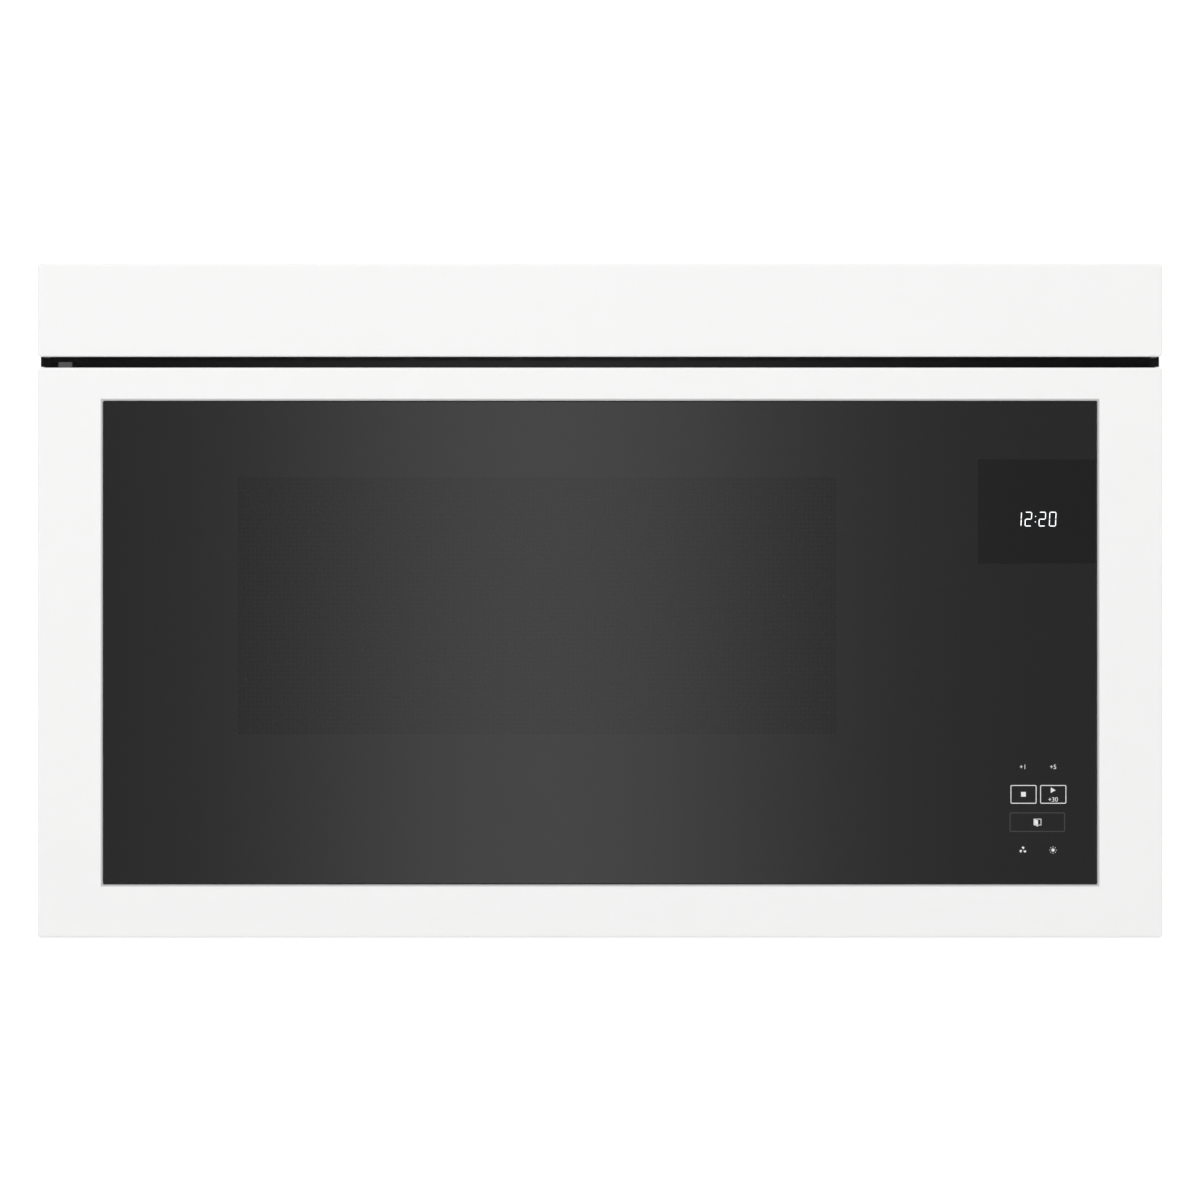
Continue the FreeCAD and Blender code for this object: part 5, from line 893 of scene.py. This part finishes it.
class MH_OT_filter_mesh(bpy.types.Operator):
    """Expanded aluminium mesh of the two grease filters, in two layers each"""
    bl_idname = "microwave_hood.filter_mesh"
    bl_label = "Filter mesh"

    def execute(self, context):
        looks = context.scene.mh_screen
        low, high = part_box("grease_filter_meshes")
        pitch = looks.strand_pitch
        diamond = self.diamond(pitch, looks.strand)
        tree = diamond_tree()
        wide = 0.159                   # of one filter's mesh
        layers = []
        for centre_x in (low.x + wide / 2.0, high.x - wide / 2.0):
            for rise, tilt in ((0.0008, 0.35), (0.0030, -0.35)):
                layers.append(grow("mesh_layer", tree, "aluminium", "chassis", "aluminium",
                                   Width=wide - pitch, Depth=high.y - low.y - pitch, Pitch=pitch,
                                   Place=(centre_x, (low.y + high.y) / 2.0, low.z + rise),
                                   Tilt=(tilt, 0.0, 0.0), Diamond=diamond))
        bpy.data.objects.remove(diamond)
        made = join_named("grease_mesh", layers)
        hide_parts("grease_filter_meshes")
        return {"FINISHED"}

    def diamond(self, pitch, strand):
        """One diamond of flat strand, as wide as the pitch and half as deep."""
        half_x, half_y, thick = pitch / 2.0, pitch / 4.0, strand * 0.35
        corners = [Vector((half_x, 0)), Vector((0, half_y)), Vector((-half_x, 0)), Vector((0, -half_y))]
        vertices, faces = [], []
        for scale in (1.0 + strand / pitch, 1.0 - 2.2 * strand / pitch):
            for z in (-thick, thick):
                vertices += [(c.x * scale, c.y * scale, z) for c in corners]
        for i in range(4):
            j = (i + 1) % 4
            faces += [(i, j, 4 + j, 4 + i), (8 + j, 8 + i, 12 + i, 12 + j), (4 + i, 4 + j, 12 + j, 12 + i),
                      (j, i, 8 + i, 8 + j)]
        return outward(mesh_object("strand_diamond", vertices, faces, "aluminium"))


class MH_OT_screws(bpy.types.Operator):
    """Screw heads round the rear panel"""
    bl_idname = "microwave_hood.screws"
    bl_label = "Case screws"

    inset, sink = 0.007, 0.0002          # from the panel's edge, and into its face
    edge_z = (0.05, 0.16, 0.27, 0.38)
    row_x = (-0.30, -0.15, 0.15, 0.30)
    sides = 16
    dome = ((1.0, 0.0), (1.0, 0.45), (0.86, 0.80), (0.60, 1.0))    # shares of the radius and of the rise

    def execute(self, context):
        looks = context.scene.mh_fastener
        low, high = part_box("rear_panel")
        y = high.y - looks.rise - self.sink
        spots = [(x, y, z) for x in (low.x + self.inset, high.x - self.inset) for z in self.edge_z]
        spots += [(x, y, z) for x in self.row_x for z in (high.z - self.inset, low.z + self.inset)]
        points = mesh_object("screw_spots", spots, [], "steel")
        facing = points.data.attributes.new("facing", "FLOAT_VECTOR", "POINT")
        facing.data.foreach_set("vector", (0.0, 1.0, 0.0) * len(spots))
        screw = self.head(looks.head, looks.rise)
        grow("case_screws", screw_tree(), "steel", "chassis", "steel", Points=points, Screw=screw)
        bpy.data.objects.remove(points)
        bpy.data.objects.remove(screw)
        return {"FINISHED"}

    def head(self, radius, rise):
        """A low domed head with a cross recess, standing on the XY plane."""
        work = bmesh.new()
        circle = [around(0.0, 0.0, radius, math.tau * i / self.sides) for i in range(self.sides)]
        rings = [self.ring(work, circle, reach, rise * height) for reach, height in self.dome]
        for lower, upper in zip(rings, rings[1:]):
            self.wall(work, lower, upper)
        arm, slot = 0.50 * radius, 0.11 * radius
        quarter = [(arm, -slot), (arm, slot), (slot, slot)]
        cross = []
        for _ in range(4):
            cross += quarter
            quarter = [(-y, x) for x, y in quarter]
        edge = self.ring(work, cross, 1.0, rise)
        floor = self.ring(work, cross, 0.8, rise * 0.35)
        self.wall(work, edge, floor)
        work.faces.new(floor)
        border = [work.edges.get(pair) for ring in (edge, rings[-1])
                  for pair in zip(ring, ring[1:] + ring[:1])]
        bmesh.ops.triangle_fill(work, use_beauty=True, use_dissolve=False, edges=border)
        work.faces.new(list(reversed(rings[0])))
        data = bpy.data.meshes.new("screw_head")
        work.to_mesh(data)
        work.free()
        return outward(new_object("screw_head", data))

    def ring(self, work, outline, reach, z):
        return [work.verts.new((x * reach, y * reach, z)) for x, y in outline]

    def wall(self, work, lower, upper):
        """Faces between two rings of as many points."""
        for i in range(len(lower)):
            j = (i + 1) % len(lower)
            work.faces.new((lower[i], lower[j], upper[j], upper[i]))


class MH_OT_stage(bpy.types.Operator):
    """Pale floor with its cove, soft lamps, the card that the glass mirrors, and the camera"""
    bl_idname = "microwave_hood.stage"
    bl_label = "Studio"

    def execute(self, context):
        looks = context.scene.mh_stage
        self.floor(looks)
        self.card(looks)
        self.world(looks)
        self.lamp("key_lamp", (-0.6, -4.0, 2.6), 2.6, looks.key)
        self.lamp("left_lamp", (-3.4, -0.6, 1.6), 2.0, looks.side * 0.6)
        self.lamp("right_lamp", (3.4, -0.8, 1.6), 2.0, looks.side)
        self.lamp("rear_lamp", (0.0, 3.2, 2.4), 2.0, looks.side)
        self.camera(context)
        context.scene.view_settings.view_transform = "Standard"
        return {"FINISHED"}

    def floor(self, looks):
        """Floor that rises into a wall far behind."""
        front, back, radius, top, half_x = -9.0, 6.0, 3.0, 9.0, 12.0
        profile = [(front, -looks.floor_drop)]
        for step in range(13):
            turn = math.radians(90.0 * step / 12)
            profile.append((back + radius * math.sin(turn),
                            radius * (1.0 - math.cos(turn)) - looks.floor_drop))
        profile.append((back + radius, top))
        vertices = [(x, y, z) for y, z in profile for x in (-half_x, half_x)]
        faces = [(2 * i, 2 * i + 1, 2 * i + 3, 2 * i + 2) for i in range(len(profile) - 1)]
        tree, shader = material("studio_paper", (0.93, 0.93, 0.93), 0.9, Specular_IOR_Level=0.1)
        grains = use(tree, "Surface grain", Grain=60.0, Drift=0.8)
        tint(tree, shader, grains.outputs["Shade"], (0.93, 0.93, 0.93), (0.925, 0.925, 0.925))
        shader.inputs["Emission Color"].default_value = (1.0, 1.0, 1.0, 1.0)
        glow = maths(tree, "MULTIPLY", self.seen_rays(tree), 0.48)
        tree.links.new(glow, shader.inputs["Emission Strength"])
        mesh_object("studio_floor", vertices, faces, "studio_paper")

    def seen_rays(self, tree):
        """1 for what the camera sees, directly, mirrored or through glass."""
        path = add(tree, "ShaderNodeLightPath")
        both = maths(tree, "ADD", path.outputs["Is Camera Ray"], path.outputs["Is Glossy Ray"], clamp=True)
        return maths(tree, "ADD", both, path.outputs["Is Transmission Ray"], clamp=True)

    def card(self, looks):
        """Tall card behind the camera with a soft bright band, which the dark glass mirrors."""
        y, half_x, low, high = -8.0, 2.6, -0.4, 3.2
        band_x, band_width, dark = -0.100, 0.475, 0.15
        made = bpy.data.materials.new("studio_card")
        made.use_nodes = True
        tree = made.node_tree
        tree.nodes.clear()
        x = add(tree, "ShaderNodeSeparateXYZ", {0: object_place(tree)}).outputs["X"]
        reach = maths(tree, "DIVIDE", maths(tree, "SUBTRACT", x, band_x), band_width)
        fall = maths(tree, "EXPONENT", maths(tree, "MULTIPLY", maths(tree, "MULTIPLY", reach, reach), -1.0))
        level = maths(tree, "MULTIPLY_ADD", fall, looks.glow, dark)
        glow = add(tree, "ShaderNodeEmission", {"Strength": level})
        result = add(tree, "ShaderNodeOutputMaterial")
        tree.links.new(glow.outputs[0], result.inputs["Surface"])
        mesh_object("studio_card_board", [(-half_x, y, low), (half_x, y, low), (half_x, y, high),
                                                   (-half_x, y, high)], [(0, 1, 2, 3)], "studio_card")

    def world(self, looks):
        """White all round for the camera, plain ambient light for the object."""
        made = bpy.data.worlds.new("studio_world")
        bpy.context.scene.world = made
        made.use_nodes = True
        tree = made.node_tree
        ground = tree.nodes["Background"]
        ground.inputs["Color"].default_value = (1.0, 1.0, 1.0, 1.0)
        level = maths(tree, "MULTIPLY_ADD", self.seen_rays(tree), 1.0 - looks.ambient, looks.ambient)
        tree.links.new(level, ground.inputs["Strength"])

    def lamp(self, name, place, size, power):
        """A square soft lamp that points at the hood."""
        aim = Vector((0.0, -0.2, 0.2))
        data = bpy.data.lights.new(name, "AREA")
        data.size = size
        data.energy = power
        made = new_object(name, data)
        made.location = place
        made.rotation_euler = (aim - Vector(place)).to_track_quat("-Z", "Y").to_euler()

    def camera(self, context):
        """Straight in front, far off with a long lens."""
        frame_width, middle_z = 0.810, 0.2279
        data = bpy.data.cameras.new("camera")
        data.lens, data.sensor_width = 200.0, 36.0
        data.clip_end = 100.0
        made = new_object("camera", data)
        distance = frame_width * data.lens / data.sensor_width
        made.location = (0.0, FRONT_Y - distance, middle_z)
        made.rotation_euler = (math.pi / 2.0, 0.0, 0.0)
        context.scene.camera = made


class MH_PT_panel(bpy.types.Panel):
    """Settings and steps of the microwave hood"""
    bl_idname = "MH_PT_panel"
    bl_label = "Microwave hood"
    bl_space_type = "VIEW_3D"
    bl_region_type = "UI"
    bl_category = "Microwave hood"

    def draw(self, context):
        for setting in SETTINGS:
            group = getattr(context.scene, setting)
            box = self.layout.box()
            for name in group.__annotations__:
                box.prop(group, name)
        for step in STEPS:
            self.layout.operator(step.bl_idname)


SETTINGS = {"mh_finish": MH_FinishSettings, "mh_legend": MH_LegendSettings, "mh_screen": MH_ScreenSettings,
            "mh_fastener": MH_FastenerSettings, "mh_stage": MH_StageSettings}
STEPS = [MH_OT_stage, MH_OT_front, MH_OT_clock, MH_OT_keys, MH_OT_door_back, MH_OT_screen, MH_OT_cabinet,
         MH_OT_oven, MH_OT_bay, MH_OT_lock, MH_OT_hood, MH_OT_filter_mesh, MH_OT_screws]


def register():
    for name, group in SETTINGS.items():
        bpy.utils.register_class(group)
        setattr(bpy.types.Scene, name, PointerProperty(type=group))
    for step in STEPS + [MH_PT_panel]:
        bpy.utils.register_class(step)


def unregister():
    for step in reversed(STEPS + [MH_PT_panel]):
        bpy.utils.unregister_class(step)
    for name, group in SETTINGS.items():
        delattr(bpy.types.Scene, name)
        bpy.utils.unregister_class(group)


def main():
    register()
    for group in (group_grain, group_streaks, group_marks, group_spangle, group_flecks, group_rectangle,
                  group_bands):
        group()
    make_materials()
    for step in STEPS:
        area, action = step.bl_idname.split(".")
        getattr(getattr(bpy.ops, area), action)()


if __name__ == "__main__":
    main()
